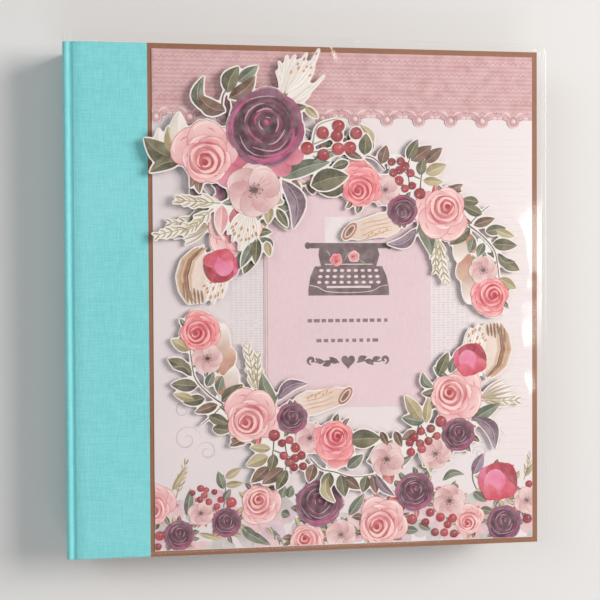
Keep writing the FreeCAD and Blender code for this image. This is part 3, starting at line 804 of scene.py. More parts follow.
def bouquetArt(sheaf, level):
    low, mid, high = level, level + 0.21, level + 0.25
    leaves(sheaf, [
        (72, 242, 70.5, 262, 7, sage, 0.22), (82, 243, 67, 252, 9, bark, 0.15), (83, 253, 89.5, 267.5, 9, olive, 0.1),
        (89, 259, 100, 268, 6.5, sage), (84, 250, 98.5, 262.5, 8, bark, -0.1), (58, 217, 38, 228, 12, olive, 0.12),
        (57.5, 216, 41, 209.5, 7.5, olive, -0.1), (58, 218, 51, 234.5, 8, tan, 0.1),
        (58, 222, 57, 242, 9.5, cream, 0.05),
        (52, 214, 46, 233, 8, cream, 0.1), (113, 207, 140, 216, 8.5, sage, 0.06),
        (129, 203, 150, 208.5, 12, olive, 0.05),
        (113, 206, 119, 179, 9.5, plumLeaf, 0.2), (159, 220, 160, 232, 7.5, olive), (148, 222, 158, 218, 4, bark),
        (106, 192, 105, 182, 5, tan), (110, 190, 116, 180, 4.5, olive), (130, 216, 143, 222, 5, sage),
        (86, 190, 92, 178, 10, russet), (80, 192, 79, 176, 7, pinks["outer"]), (97, 172, 90, 158, 5, sage),
        (99, 174, 98, 160, 5.5, olive), (104, 172, 106, 164, 4, tan), (126, 246, 133, 240, 4, tan),
        (150, 216, 141, 213, 5, olive),
    ], low + 0.05)
    stem(sheaf, [(80, 244), (81, 252), (86, 258), (91, 263)], 1.1, bark[0], low)
    plume(sheaf, 112, 250, [(110, 266), (111.5, 271), (113.5, 269), (116, 274), (119, 271), (121, 275), (126, 269)],
          2.2, cream,
          low + 0.02, 21)
    plume(sheaf, 115, 253, [(131, 268), (134, 278.5), (128, 271), (127, 275.5), (132, 272), (123, 272)], 2.3, cream,
          low + 0.1,
          20, tone(206, 142, 74))
    plume(sheaf, 117, 248, [(129, 254), (137, 264), (130, 259), (133, 259)], 1.8, cream, low + 0.02, 22)
    plume(sheaf, 95, 190, fanTips(95, 190, 89, 167, 0.9, 9), 2.4, cream, low + 0.1, 23, tone(206, 142, 74))
    needleSprig(sheaf, 79, 193, 57, 194.5, tan, low + 0.05, 24, 5.5, 7)
    needleSprig(sheaf, 75, 190, 62, 179, tan, low + 0.05, 25, 5.0, 6)
    needleSprig(sheaf, 67, 181, 46, 176, tan, low + 0.05, 26, 4.5, 6)
    for path in [[(126, 224), (136, 228), (146, 233)], [(128, 221), (140, 223), (152, 226)],
                 [(130, 226), (133, 236), (144, 240)],
                 [(130, 219), (138, 218), (146, 222)]]:
        stem(sheaf, path, 1.0, sage[1], low + 0.03)
    for k, (x, y, r) in enumerate(((72, 217, 15), (98, 200, 15), (104, 235, 21))):
        leafRing(sheaf, x, y, r, low, 95 + k, 6)
    for k, (x, y, r) in enumerate(((88, 217, 9), (84, 208, 7), (112, 214, 7), (119, 219, 6))):
        addPatch(sheaf, roundOutline(x, y, r, 0.8 * r, k, 18, 0.06, 3, k), mid - 0.03 + 0.006 * k, tone(196, 92, 116),
                 tone(232, 156, 170), 2.2 + k)
    rose(sheaf, 71.5, 217, 14.2, pinks, mid, 31, skirt=(-0.5, 6.0, 1.35))
    plumRose(sheaf, 104, 234.5, 22.3, high, 32, glow=0.9)
    anemone(sheaf, 97.6, 200.2, 14.6, mid, 33)
    for x, y, r in [(135.6, 232, 3.5), (144.4, 235.9, 3.5), (143.6, 230.4, 3.3), (154.4, 232, 3.4),
                    (144.3, 223.3, 3.5),
                    (150.9, 224, 3.5), (136, 219.8, 3.4), (127, 223.4, 3.6)]:
        berry(sheaf, x, y, r, high + 0.1, 0.3 * ((x * 3 + y) % 2))


def bandArt(sheaf, level):
    # the flat border printed along the tail of the panel
    low, mid = level, level + 0.14
    leaves(sheaf, [
        (52, 36, 60, 49, 3.5, tan), (60, 22, 62, 37, 5, sage), (80, 36, 77, 46, 5, sage),
        (81, 42, 90, 47.5, 4.5, tan),
        (81, 38, 91, 39, 4, tan), (90, 15, 100, 5, 6, sage), (92, 12, 106, 4, 5, sage), (80, 30, 84, 36, 4, sage),
        (112, 30, 114, 37, 5, sage), (116, 30, 118, 37, 5, sage), (112, 22, 117, 20, 5, sage),
        (150, 19, 159, 31, 5.5, sage),
        (156, 16, 166, 5, 6, plumLeaf), (181, 10, 190, 9, 5, sage), (190, 13, 197, 9, 4, sage),
        (204, 37, 217, 40, 4.5, sage, 0.2),
        (222, 40, 228, 52, 6.5, plumLeaf), (222, 30, 230, 24, 5, sage), (226, 20, 234, 18, 5, sage),
        (253, 38, 258, 46, 3, tan),
        (103, 14, 107, 9, 2.5, tan), (66, 12, 80, 8, 3, tan), (190, 46, 198, 43, 2.5, tan),
    ], low + 0.05, 5)
    needleSprig(sheaf, 54, 32, 59, 50, tan, low, 41, 4, 6)
    needleSprig(sheaf, 252, 36, 256, 50, tan, low, 42, 4, 5)
    needleSprig(sheaf, 106, 14, 112, 5, sage, low, 43, 3, 5)
    stem(sheaf, [(60, 22), (66, 30), (72, 36)], 0.6, olive[0], low)
    stem(sheaf, [(80, 26), (81, 36), (80, 44)], 0.7, olive[0], low)
    stem(sheaf, [(190, 13), (200, 11), (212, 10)], 0.6, olive[0], low)
    stem(sheaf, [(222, 46), (222, 36), (228, 26), (236, 21)], 0.9, sage[0], low)
    for x, y, size, way in ((60, 64, 8, 1), (71, 57, 6, -1), (58, 80, 5, 1), (76, 70, 4.5, -1), (235, 60, 6, 1),
                            (226, 52, 4.5, -1)):
        curl = [(x + way * size * (1 - 0.04 * k) * math.cos(0.42 * k), y + size * (1 - 0.04 * k) * math.sin(0.42 * k))
                for k in range(22)]
        addRibbon(sheaf, curl, taper(0.9, 22), low, tone(206, 198, 206), tone(214, 205, 210), False)
    chance = random.Random(77)
    washes = (tone(228, 176, 182), tone(216, 186, 198), tone(232, 192, 192), tone(196, 190, 184))
    for k in range(120):
        x, y = 43 + 1.8 * k + chance.uniform(-2, 2), 3 + 27 * chance.random() ** 1.3
        size = chance.uniform(3.5, 7.5)
        # each wash fades at its rim towards the panel's left tone, the painted-shade end of the panel's ground
        addPatch(sheaf, roundOutline(x, y, size, 0.75 * size, chance.uniform(0, 3), 18, 0.1, 3, k),
                 low - 0.025 + 0.0004 * k,
                 washes[k % 4] if k % 8 else washes[0], mixTone(washes[k % 4], panel["left"], 0.7),
                 chance.uniform(0, 6))
    for k, (x, y, r) in enumerate(((43, 27, 10), (67, 23, 7), (99, 28, 11), (126, 7, 11), (145, 8, 9), (168, 14, 14),
                                   (208, 25, 10),
                                   (219, 14, 9), (252, 24, 8), (56, 11, 9), (82, 17, 9), (133, 26, 13), (188, 31, 12),
                                   (240, 12, 11), (237, 34, 12))):
        leafRing(sheaf, x, y, r, low + 0.01, 110 + k, 10)
    rose(sheaf, 41.5, 26.5, 9.5, pinks, mid, 51, skirt=(0, 1.5, 1.35))
    anemone(sheaf, 67.5, 23.2, 7, mid - 0.03, 52)
    rose(sheaf, 99.4, 28.4, 10, pinks, mid, 53, skirt=(2, -3, 1.2))
    rose(sheaf, 125.6, 6, 9.5, pinks, mid, 54)
    anemone(sheaf, 145.4, 8.4, 8.4, mid - 0.03, 55)
    rose(sheaf, 167.5, 13, 12.5, pinks, mid, 56, skirt=(3, 4, 1.2))
    anemone(sheaf, 207.8, 25.4, 9.5, mid - 0.03, 57)
    rose(sheaf, 219, 13, 8, pinks, mid - 0.02, 58, skirt=(0, 5, 1.2))
    anemone(sheaf, 253.4, 24.3, 7.4, mid - 0.03, 59)
    top = mid + 0.12
    plumRose(sheaf, 55.6, 11.4, 8.6, top, 60)
    plumRose(sheaf, 81.6, 17.4, 8.4, top, 61)
    plumRose(sheaf, 133.2, 26.3, 13.6, top, 62)
    plumRose(sheaf, 188, 31.2, 11.4, top, 63)
    plumRose(sheaf, 240.2, 11.6, 10.6, top, 64)
    bud(sheaf, 236.5, 34.4, 11.6, top, 0.2)
    for x, y, r in [(67.5, 36.8, 1.9), (70.5, 35.8, 1.6), (69.5, 32.8, 1.8), (67, 30.6, 1.8), (63, 34.4, 1.6),
                    (75, 34.6, 1.6),
                    (71.8, 29.2, 1.9), (78.5, 30.2, 1.8), (76.3, 26.6, 1.8), (84.3, 28.6, 2.9), (45, 11.5, 2.6),
                    (186.3, 15.6, 3),
                    (196.8, 19, 2.4), (194, 13.6, 2.3), (202.8, 16.2, 2.6), (209.8, 15.4, 2.6), (207, 12, 2.3),
                    (199.6, 7.8, 2.3),
                    (205, 7.4, 2.3), (210.6, 6.6, 2.3), (254, 13.6, 2.7), (255, 33.6, 2), (44, 5.5, 2)]:
        berry(sheaf, x, y, r, top, 0.4 * ((x * 5 + y) % 2))


# ---- cut white borders: the drawn shapes, widened and joined, then traced round ----

def rasterise(outlines, grid, origin, cell):
    for points in outlines:
        p = (np.array(points) - origin) / cell
        low = np.maximum(np.floor(p.min(0)).astype(int), 0)
        high = np.minimum(np.ceil(p.max(0)).astype(int) + 1, np.array(grid.shape)[::-1])
        if (high <= low).any():
            continue
        xs, ys = np.meshgrid(np.arange(low[0], high[0]), np.arange(low[1], high[1]))
        inside = np.zeros(xs.shape, bool)
        q = np.roll(p, 1, 0)
        for (ax, ay), (bx, by) in zip(p, q):
            if ay != by:
                crosses = ((ay > ys) != (by > ys)) & (xs < (bx - ax) * (ys - ay) / (by - ay) + ax)
                inside ^= crosses
        grid[low[1]:high[1], low[0]:high[0]] |= inside


def widen(mask, cells):
    wide = np.zeros_like(mask)
    reach = int(math.ceil(cells))
    for dy in range(-reach, reach + 1):
        for dx in range(-reach, reach + 1):
            if dx * dx + dy * dy <= cells * cells:
                wide |= np.roll(np.roll(mask, dy, 0), dx, 1)
    return wide


def soften(field, passes):
    for _ in range(passes):
        field = (field + np.roll(field, 1, 0) + np.roll(field, -1, 0)) / 3
        field = (field + np.roll(field, 1, 1) + np.roll(field, -1, 1)) / 3
    return field


def traceLoops(field, level=0.5):
    # the closed lines where the field crosses a level, cell by cell
    above = field > level
    code = (above[:-1, :-1] * 1 + above[:-1, 1:] * 2 + above[1:, 1:] * 4 + above[1:, :-1] * 8)
    follow = {}
    sides = {1: [(3, 0)], 2: [(0, 1)], 3: [(3, 1)], 4: [(1, 2)], 5: [(3, 2), (1, 0)], 6: [(0, 2)], 7: [(3, 2)],
             8: [(2, 3)], 9: [(2, 0)], 10: [(0, 3), (2, 1)], 11: [(2, 1)], 12: [(1, 3)], 13: [(1, 0)], 14: [(0, 3)]}

    def edgeKey(r, c, side):
        return {0: (r, c, 0), 2: (r + 1, c, 0), 3: (r, c, 1), 1: (r, c + 1, 1)}[side]

    for r, c in zip(*np.nonzero((code > 0) & (code < 15))):
        for a, b in sides[int(code[r, c])]:
            follow[edgeKey(r, c, a)] = edgeKey(r, c, b)

    def crossing(key):
        r, c, upright = key
        a = field[r, c]
        b = field[r + 1, c] if upright else field[r, c + 1]
        t = (level - a) / (b - a)
        return (c, r + t) if upright else (c + t, r)

    loops = []
    while follow:
        first, key = follow.popitem()
        loop = [crossing(first)]
        while key != first and key in follow:
            loop.append(crossing(key))
            key = follow.pop(key)
        loops.append(np.array(loop))
    return loops


def cutCard(name, outlines, border, low, high, material, smallestHole=14.0):
    cell = 0.4
    flat = np.concatenate([np.array(o) for o in outlines])
    origin = flat.min(0) - 6
    size = np.ceil((flat.max(0) + 6 - origin) / cell).astype(int)
    mask = np.zeros((size[1], size[0]), bool)
    rasterise(outlines, mask, origin, cell)
    mask = widen(mask, border / cell)
    field = soften(mask.astype(float), 3)
    curve = bpy.data.curves.new(name + "Outline", "CURVE")
    curve.dimensions = "2D"
    curve.fill_mode = "BOTH"
    curve.extrude = (high - low) / 2
    for loop in traceLoops(field):
        points = loop * cell + origin
        ring = np.roll(points, -1, 0)
        area = 0.5 * (points[:, 0] * ring[:, 1] - ring[:, 0] * points[:, 1]).sum()
        if abs(area) < smallestHole:
            continue
        points = points[::2] if len(points) > 24 else points
        spline = curve.splines.new("POLY")
        spline.points.add(len(points) - 1)
        for point, (px, py) in zip(spline.points, points):
            x, y = spot(px, py)
            point.co = (x, y, 0, 1)
        spline.use_cyclic_u = True
    holder = linkObject(name + "Outline", curve)
    mesh = plainMesh(name, holder)
    removePiece(holder)
    for vertex in mesh.vertices:
        vertex.co.z += (low + high) / 2
    mesh.materials.clear()
    mesh.materials.append(material)
    card = linkObject(name, mesh)
    mergeSeams(card)
    return card, mask, origin, cell


def mergeSeams(piece, distance=1e-6):
    work = bmesh.new()
    work.from_mesh(piece.data)
    if distance:
        bmesh.ops.remove_doubles(work, verts=work.verts, dist=distance)
    bmesh.ops.recalc_face_normals(work, faces=work.faces)
    work.to_mesh(piece.data)
    work.free()


# ---- Geometry Nodes: one tree sets a piece on points, another rules rows of small bars ----

def newTree(name, inputs):
    tree = bpy.data.node_groups.new(name, "GeometryNodeTree")
    for label, kind, *value in inputs:
        socket = tree.interface.new_socket(name=label, in_out="INPUT", socket_type="NodeSocket" + kind)
        if value:
            socket.default_value = value[0]
    tree.interface.new_socket(name="Geometry", in_out="OUTPUT", socket_type="NodeSocketGeometry")
    return tree, tree.nodes.new("NodeGroupInput").outputs


def endTree(tree, instances, finish):
    realize = addNode(tree, "GeometryNodeRealizeInstances", {"Geometry": instances})
    finished = addNode(tree, "GeometryNodeSetMaterial", {"Geometry": realize.outputs["Geometry"], "Material": finish})
    addNode(tree, "NodeGroupOutput", {"Geometry": finished.outputs["Geometry"]})
    return tree


def setOnPointsTree():
    tree, given = newTree("setOnPoints", (("Points", "Geometry"), ("Piece", "Object"), ("Size", "Float", 1.0),
                                          ("Size Spread", "Float", 0.0), ("Seed", "Int", 1), ("Finish", "Material")))
    piece = addNode(tree, "GeometryNodeObjectInfo", {"Object": given["Piece"]})
    spread = addNode(tree, "FunctionNodeRandomValue", {2: -1.0, 3: 1.0, "Seed": given["Seed"]}, data_type="FLOAT")
    wobble = calc(tree, "MULTIPLY_ADD", spread.outputs[1], given["Size Spread"], 1.0)
    place = addNode(tree, "GeometryNodeInstanceOnPoints",
                    {"Points": given["Points"], "Instance": piece.outputs["Geometry"],
                                                           "Scale": calc(tree, "MULTIPLY", given["Size"], wobble)})
    return endTree(tree, place.outputs["Instances"], given["Finish"])


def ruledRowsTree():
    # rows of short bars with random lengths and gaps, like faint newsprint with no letters
    tree, given = newTree("ruledRows", (
        ("Geometry", "Geometry"), ("Width", "Float", 0.02), ("Height", "Float", 0.1), ("Columns", "Int", 8),
        ("Rows", "Int", 40), ("Bar Length", "Float", 0.002), ("Bar Height", "Float", 0.0005),
        ("Bar Thickness", "Float", 0.00002), ("Shortest", "Float", 0.5), ("Kept", "Float", 0.9), ("Seed", "Int", 1),
        ("Finish", "Material")))
    grid = addNode(tree, "GeometryNodeMeshGrid", {"Size X": given["Width"], "Size Y": given["Height"],
                                                  "Vertices X": given["Columns"], "Vertices Y": given["Rows"]})
    size = addNode(tree, "ShaderNodeCombineXYZ", {"X": given["Bar Length"], "Y": given["Bar Height"],
                                                  "Z": given["Bar Thickness"]})
    bar = addNode(tree, "GeometryNodeMeshCube", {"Size": size.outputs["Vector"]})
    length = addNode(tree, "FunctionNodeRandomValue", {2: given["Shortest"], 3: 1.0, "Seed": given["Seed"]},
                     data_type="FLOAT")
    stretch = addNode(tree, "ShaderNodeCombineXYZ", {"X": length.outputs[1], "Y": 1.0, "Z": 1.0})
    keep = addNode(tree, "FunctionNodeRandomValue", {"Probability": given["Kept"], "Seed": given["Seed"]},
                   data_type="BOOLEAN")
    place = addNode(tree, "GeometryNodeInstanceOnPoints", {
        "Points": grid.outputs["Mesh"], "Instance": bar.outputs["Mesh"], "Selection": keep.outputs[3],
        "Scale": stretch.outputs["Vector"]})
    return endTree(tree, place.outputs["Instances"], given["Finish"])


def growPiece(name, tree, values, places=((0, 0, 0),), shift=(0, 0, 0)):
    # runs a tree on points and keeps the result as a plain mesh
    points = bpy.data.meshes.new(name + "Points")
    points.from_pydata(places, [], [])
    base = linkObject(name + "Points", points)
    modifier = base.modifiers.new(tree.name, "NODES")
    modifier.node_group = tree
    named = {item.name: item.identifier for item in tree.interface.items_tree if item.in_out == "INPUT"}
    for key, value in values.items():
        modifier[named[key]] = value
    mesh = plainMesh(name, base)
    base.modifiers.remove(modifier)
    removePiece(base)
    for vertex in mesh.vertices:
        vertex.co += Vector(shift)
    return linkObject(name, mesh)


def removePiece(piece):
    bpy.data.objects.remove(piece, do_unlink=True)


# ---- cloth: one bent sheet over each joint, from the middle of the spine to the cover's seam ----

linen = {"thick": 0.5, "groove": 1.15, "grooveAt": 1.7, "landing": 3.6, "turnIn": 2.4, "corner": 0.5,
         "cut": (60.7, 285.0), "threadsPerMetre": 2300, "light": tone(142, 224, 226), "shade": tone(108, 200, 204),
         "pale": tone(154, 230, 230)}


def jointPath(hinge, side, radius, landingLevel, groove, landing, lastX=None):
    # outer line of a skin in X and Z: spine middle, round the joint, down the groove, along the cover
    middleZ = (frontHinge.z + backHinge.z) / 2
    path = [(hinge.x - radius, middleZ + (hinge.z - middleZ) * t) for t in (0, 0.3, 0.6, 0.85, 1)]
    for k in range(1, 9):
        a = math.pi - k * math.pi / 2 / 8
        path.append((hinge.x + radius * math.cos(a), hinge.z + side * radius * math.sin(a)))
    top, peak = path[-1][1], linen["grooveAt"] / landing
    for k in range(1, 13):
        t = k / 12
        dip = math.sin(math.pi * (t / (2 * peak) if t < peak else 0.5 + (t - peak) / (2 * (1 - peak)))) ** 1.5
        path.append((hinge.x + landing * mm * t, top + (landingLevel - top) * t * t - side * groove * mm * dip))
    if lastX is not None:
        start = path[-1][0]
        path += [(start + (lastX - start) * k / 8, landingLevel) for k in range(1, 9)]
    return path


def bendAround(piece):
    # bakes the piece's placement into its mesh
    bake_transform(piece)


def skinAlongPath(name, path, material):
    # a sheet with thickness: the path is its outer line, and its ends can turn in over the boards
    count, rows, y0, y1 = len(path), 40, coverTail, coverHead
    thick, turnIn, corner = (linen[key] * mm for key in ("thick", "turnIn", "corner"))
    normals = []
    for i in range(count):
        ax, az = path[max(i - 1, 0)]
        bx, bz = path[min(i + 1, count - 1)]
        length = math.hypot(bx - ax, bz - az)
        normals.append(((bz - az) / length, -(bx - ax) / length))
    middle = (path[0][1] + path[-1][1]) / 2
    if normals[-1][1] * (middle - path[-1][1]) < 0:
        normals = [(-nx, -nz) for nx, nz in normals]
    outer = [(y0 + (y1 - y0) * k / rows, 0.0) for k in range(rows + 1)]
    tail = [(y0, turnIn)]
    tail += [(y0 + corner * (1 - math.cos(a)), corner * (1 - math.sin(a))) for a in (0.0, 0.5, 1.05, 1.5708)]
    head = [(y0 + y1 - y, d) for y, d in tail][::-1]
    outer = tail + outer[1:-1] + head
    inner = []
    for y, d in outer:
        if d >= turnIn:
            inner.append((y + thick if y < 0 else y - thick, turnIn))
        elif d > 1e-9:
            inner.append((y0 + thick if y < 0 else y1 - thick, max(d, thick)))
        else:
            inner.append((min(max(y, y0 + thick), y1 - thick), thick))
    layers = [[(px + nx * d, y, pz + nz * d) for (px, pz), (nx, nz) in zip(path, normals) for y, d in profile]
              for profile in (outer, inner)]
    return closedSheet(name, *layers, count, len(outer), material)


def makeLinen(material):
    for side, cover, hinge, face in ((1, "front", frontHinge, coverFace),
                                     (-1, "back", backHinge, corners("back_cloth")[0].z)):
        path = jointPath(hinge, side, clothHigh.z - frontHinge.z, face, linen["groove"], linen["landing"],
                         clothHigh.x)
        piece = skinAlongPath("linen_%s_joint" % cover, path, material)
        bendAround(piece)
        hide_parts(cover + "_cloth", "spine_cloth")


# ---- printed panel, lace band and title card ----

# panel ground tones: left is darker than right, painted shade on the left and painted light on the right, as the lamp
# on the right falls; news tints the fibres
panel = {"left": tone(226, 215, 216), "right": tone(235, 225, 224), "news": tone(214, 206, 206)}


def panelMaterial(name):
    material, tree, shader, coords = newMaterial(name, 0.5)
    split = addNode(tree, "ShaderNodeSeparateXYZ", {"Vector": coords})
    # painted light: the ground grows lighter from the panel's left edge to its right edge
    along = ramp(tree, split.outputs["X"], panelLow.x, panelHigh.x)
    base = blendColours(tree, along, panel["left"], panel["right"])
    cloud = noiseValue(tree, coords, 22, 4)
    base = cloudy(tree, base, cloud, 0.4, 0.7, 0.4, tone(238, 222, 220))
    fibre = noiseValue(tree, coords, 700, 4)
    base = cloudy(tree, base, fibre, 0.5, 0.8, 0.25, panel["news"])
    tree.links.new(base, shader.inputs["Base Color"])
    return material


# lace tones: pink is the lace's own colour; deep is painted shade and shine a painted highlight on its raised parts
lace = {"foot": 241.2, "knitFoot": 245.0, "pitch": 18.3, "first": 44.4, "count": 12, "ringAt": 239.9,
        "ringRadius": 3.3,
        "ribPitch": 2.35, "ribRise": 0.16, "zigzag": 1.5, "pink": tone(222, 182, 182), "deep": tone(186, 138, 142),
        "shine": tone(242, 222, 220)}


def laceBandSheet(material):
    # knitted relief: ribs along the band, every third one a zigzag; its tint follows the relief, with painted shade
    # in the troughs
    left, right = panelLow.x / mm, panelHigh.x / mm
    head = panelHigh.y / mm
    foot = coverTail / mm + lace["foot"]
    base, columns, rows = panelHigh.z / mm, 430, 72
    verts, faces, tints = [], [], []
    for i in range(columns + 1):
        x = left + (right - left) * i / columns
        wave = abs(((x / lace["zigzag"] / 2) % 1) - 0.5) * 2
        for k in range(rows + 1):
            y = foot + (head - foot) * k / rows
            row = (y - foot) / lace["ribPitch"]
            zig = 0.55 * (wave - 0.5) if int(row) % 3 == 1 else 0.12 * (wave - 0.5)
            h = 0.5 + 0.5 * math.cos(2 * math.pi * (row + zig))
            edge = min(i, columns - i, k, rows - k)
            h *= min(1, edge / 2)
            verts.append((x * mm, y * mm, (base + 0.12 + lace["ribRise"] * h) * mm))
            # painted shade: the lower the rib, the nearer its tint to deep
            tints.append(mixTone(lace["deep"], lace["pink"], 0.45 + 0.55 * h))
    top = len(verts)
    for i in range(columns + 1):
        x = left + (right - left) * i / columns
        for k in range(rows + 1):
            y = foot + (head - foot) * k / rows
            if i in (0, columns) or k in (0, rows):
                verts.append((x * mm, y * mm, base * mm))
                tints.append(lace["deep"])
    n = rows + 1
    for i in range(columns):
        for k in range(rows):
            a = i * n + k
            faces.append((a, a + n, a + n + 1, a + 1))
    low = {}
    index = top
    for i in range(columns + 1):
        for k in range(rows + 1):
            if i in (0, columns) or k in (0, rows):
                low[(i, k)] = index
                index += 1
    border = [(i, 0) for i in range(columns)] + [(columns, k) for k in range(rows)]
    border += [(i, rows) for i in range(columns, 0, -1)] + [(0, k) for k in range(rows, 0, -1)]
    for a, b in zip(border, border[1:] + border[:1]):
        faces.append((b[0] * n + b[1], a[0] * n + a[1], low[a], low[b]))
    faces.append(tuple(low[b] for b in reversed(border)))
    return meshObject("lace_band_knit", verts, faces, material, tints)


def laceMotif(material):
    # one scallop: a ring with a pearl, two leaf curls above it and a dot between; shine paints their highlights and
    # deep their shade
    sheaf = newSheaf()
    u0, v0 = -coverLeft / mm, -coverTail / mm
    z = 0.1
    pink, deep, shine = lace["pink"], lace["deep"], lace["shine"]
    addPatch(sheaf, roundOutline(u0, v0, 3.7, 3.4, 0, 20), z, pink, deep, None, 0.12)
    for r, tint in ((3.0, shine), (2.3, deep)):
        addRibbon(sheaf, arcPath(u0, v0, r, -1.57, 4.6, 16), taper(0.75, 16), z + 0.14, tint, pink)
    # the pearl is a painted highlight: shine in the middle, fading to pink at its rim
    addPatch(sheaf, roundOutline(u0 + 0.2, v0 + 0.5, 1.6, 1.5, 0, 14), z + 0.16, shine, pink, None, 0.25)
    addPatch(sheaf, roundOutline(u0 + 1.5, v0 + 1.2, 0.8, 0.9, 0, 10), z + 0.18, deep, deep, None, 0.05)
    for side in (-1, 1):
        rib, left, right = leafHalves((u0 + side * 1.3, v0 + 2.2), (u0 + side * 6.6, v0 + 5.4), 2.6, side * 0.16)
        addPatch(sheaf, left + right[-2:0:-1], z, deep, shine, 1.2, 0.2)
        addRibbon(sheaf, rib, taper(1.1, 9), z + 0.2, shine, pink)
        addPatch(sheaf, roundOutline(u0 + side * 4.6, v0 + 1.9, 2.0, 1.1, side * 0.5, 12), z, pink, deep, None, 0.1)
        addPatch(sheaf, roundOutline(u0 + side * 7.6, v0 + 2.3, 1.5, 0.9, -side * 0.3, 12), z, pink, shine, None,
                 0.12)
    addPatch(sheaf, roundOutline(u0 + 9.15, v0 + 5.4, 0.85, 1.1, 0, 12), z, deep, shine, 1.5, 0.2)
    return sheafObject("laceMotif", sheaf, material)


def makeLace(paintPaper, tree):
    band = laceBandSheet(paintPaper)
    motif = laceMotif(paintPaper)
    places = [(*spot(lace["first"] + lace["pitch"] * k, lace["ringAt"]), panelHigh.z) for k in range(lace["count"])]
    edge = growPiece("lace_band_edge", tree, {"Piece": motif, "Size": 1.0, "Size Spread": 0.0, "Seed": 2,
                                              "Finish": paintPaper}, places)
    removePiece(motif)
    trimToPanel(edge)
    layPieces("rose_lace", band, edge)
    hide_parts("lace_band")


def trimToPanel(piece):
    # cuts off what would hang over the panel's left and right edges, and closes the cut
    work = bmesh.new()
    work.from_mesh(piece.data)
    for x, normal in ((panelLow.x, (-1, 0, 0)), (panelHigh.x, (1, 0, 0))):
        cut = bmesh.ops.bisect_plane(work, geom=work.verts[:] + work.edges[:] + work.faces[:], plane_co=(x, 0, 0),
                                     plane_no=normal, clear_outer=True)
        bmesh.ops.holes_fill(work, edges=[e for e in cut["geom_cut"] if isinstance(e, bmesh.types.BMEdge)])
    work.to_mesh(piece.data)
    work.free()


title = {"ink": tone(124, 104, 106), "paleInk": tone(150, 128, 130), "bars": (
    # u, v, width, columns, height: the greeting is left as plain bars
    (150.0, 128.3, 47, 12, 1.9, 0.45), (149.5, 117.2, 36, 9, 1.9, 0.45))}


def ruledBars(name, tree, ink, u, v, level, width, height, columns, rows, share, tall, shortest, kept, seed):
    # bars of random length round a middle place; each takes at most its share of a column
    pitch = width / columns
    return growPiece(name, tree, {
        "Width": (width - pitch) * mm, "Height": height * mm, "Columns": columns, "Rows": rows,
        "Bar Length": pitch * share * mm, "Bar Height": tall * mm, "Bar Thickness": 0.03 * mm, "Shortest": shortest,
        "Kept": kept, "Seed": seed, "Finish": ink}, shift=(*spot(u, v), level))


def makeTitle(paintPaper, rowsTree, inkPaper):
    face = corners("title_card")[1].z / mm
    sheaf = newSheaf()
    z = face + 0.01
    drawTypewriter(sheaf, z)
    drawFlourish(sheaf, z)
    u0, v0, v1 = 103.6, 81.5, 199
    for u in (u0, u0 + 1.2):
        addRibbon(sheaf, [(u, v0), (u, v1)], [0.35, 0.35], z, tone(196, 160, 152), tone(206, 176, 168))
    pieces = [sheafObject("title_typewriter", sheaf, paintPaper)]
    for k, (u, v, width, columns, height, shortest) in enumerate(title["bars"]):
        pieces.append(ruledBars("title_bars_%d" % (k + 1), rowsTree, inkPaper, u, v, (face + 0.025) * mm, width, 0,
                                columns, 1, 0.86, height, shortest, 1.0, 5 + k))
    layPieces("title_pink", *pieces)


def drawFlourish(sheaf, z):
    # a heart between curls and leaves, in place of the greeting's large word
    ink = title["ink"]
    u, v = 150, 105.5
    heart = []
    for k in range(28):
        a = 2 * math.pi * k / 28
        heart.append((u + 3.9 * math.sin(a) ** 3,
                      v + 0.27 * (13 * math.cos(a) - 5 * math.cos(2 * a) - 2 * math.cos(3 * a)
                                                                - math.cos(4 * a))))
    addPatch(sheaf, heart, z, ink, ink)
    for side in (-1, 1):
        for x, width, rise in ((5.6, 3.4, 2.6), (9.6, 3.2, -2.2), (13.6, 2.9, 2.0)):
            _, left, right = leafHalves((u + side * x, v - 0.2 * rise), (u + side * (x + 5), v + rise), width, 0.1)
            addPatch(sheaf, left + right[-2:0:-1], z + 0.01, ink, ink)
        stem(sheaf, [(u + side * 5, v - 0.6), (u + side * 11, v + 0.4), (u + side * 17, v - 0.4),
                     (u + side * 20, v + 0.4)],
             1.1, ink, z + 0.005)
        curl = [(u + side * (20.8 + (2.4 - 0.16 * k) * math.sin(0.55 * k)),
                 v + 0.6 - (2.4 - 0.16 * k) * math.cos(0.55 * k))
                for k in range(13)]
        addRibbon(sheaf, curl, taper(1.8, 13), z + 0.015, ink, ink)


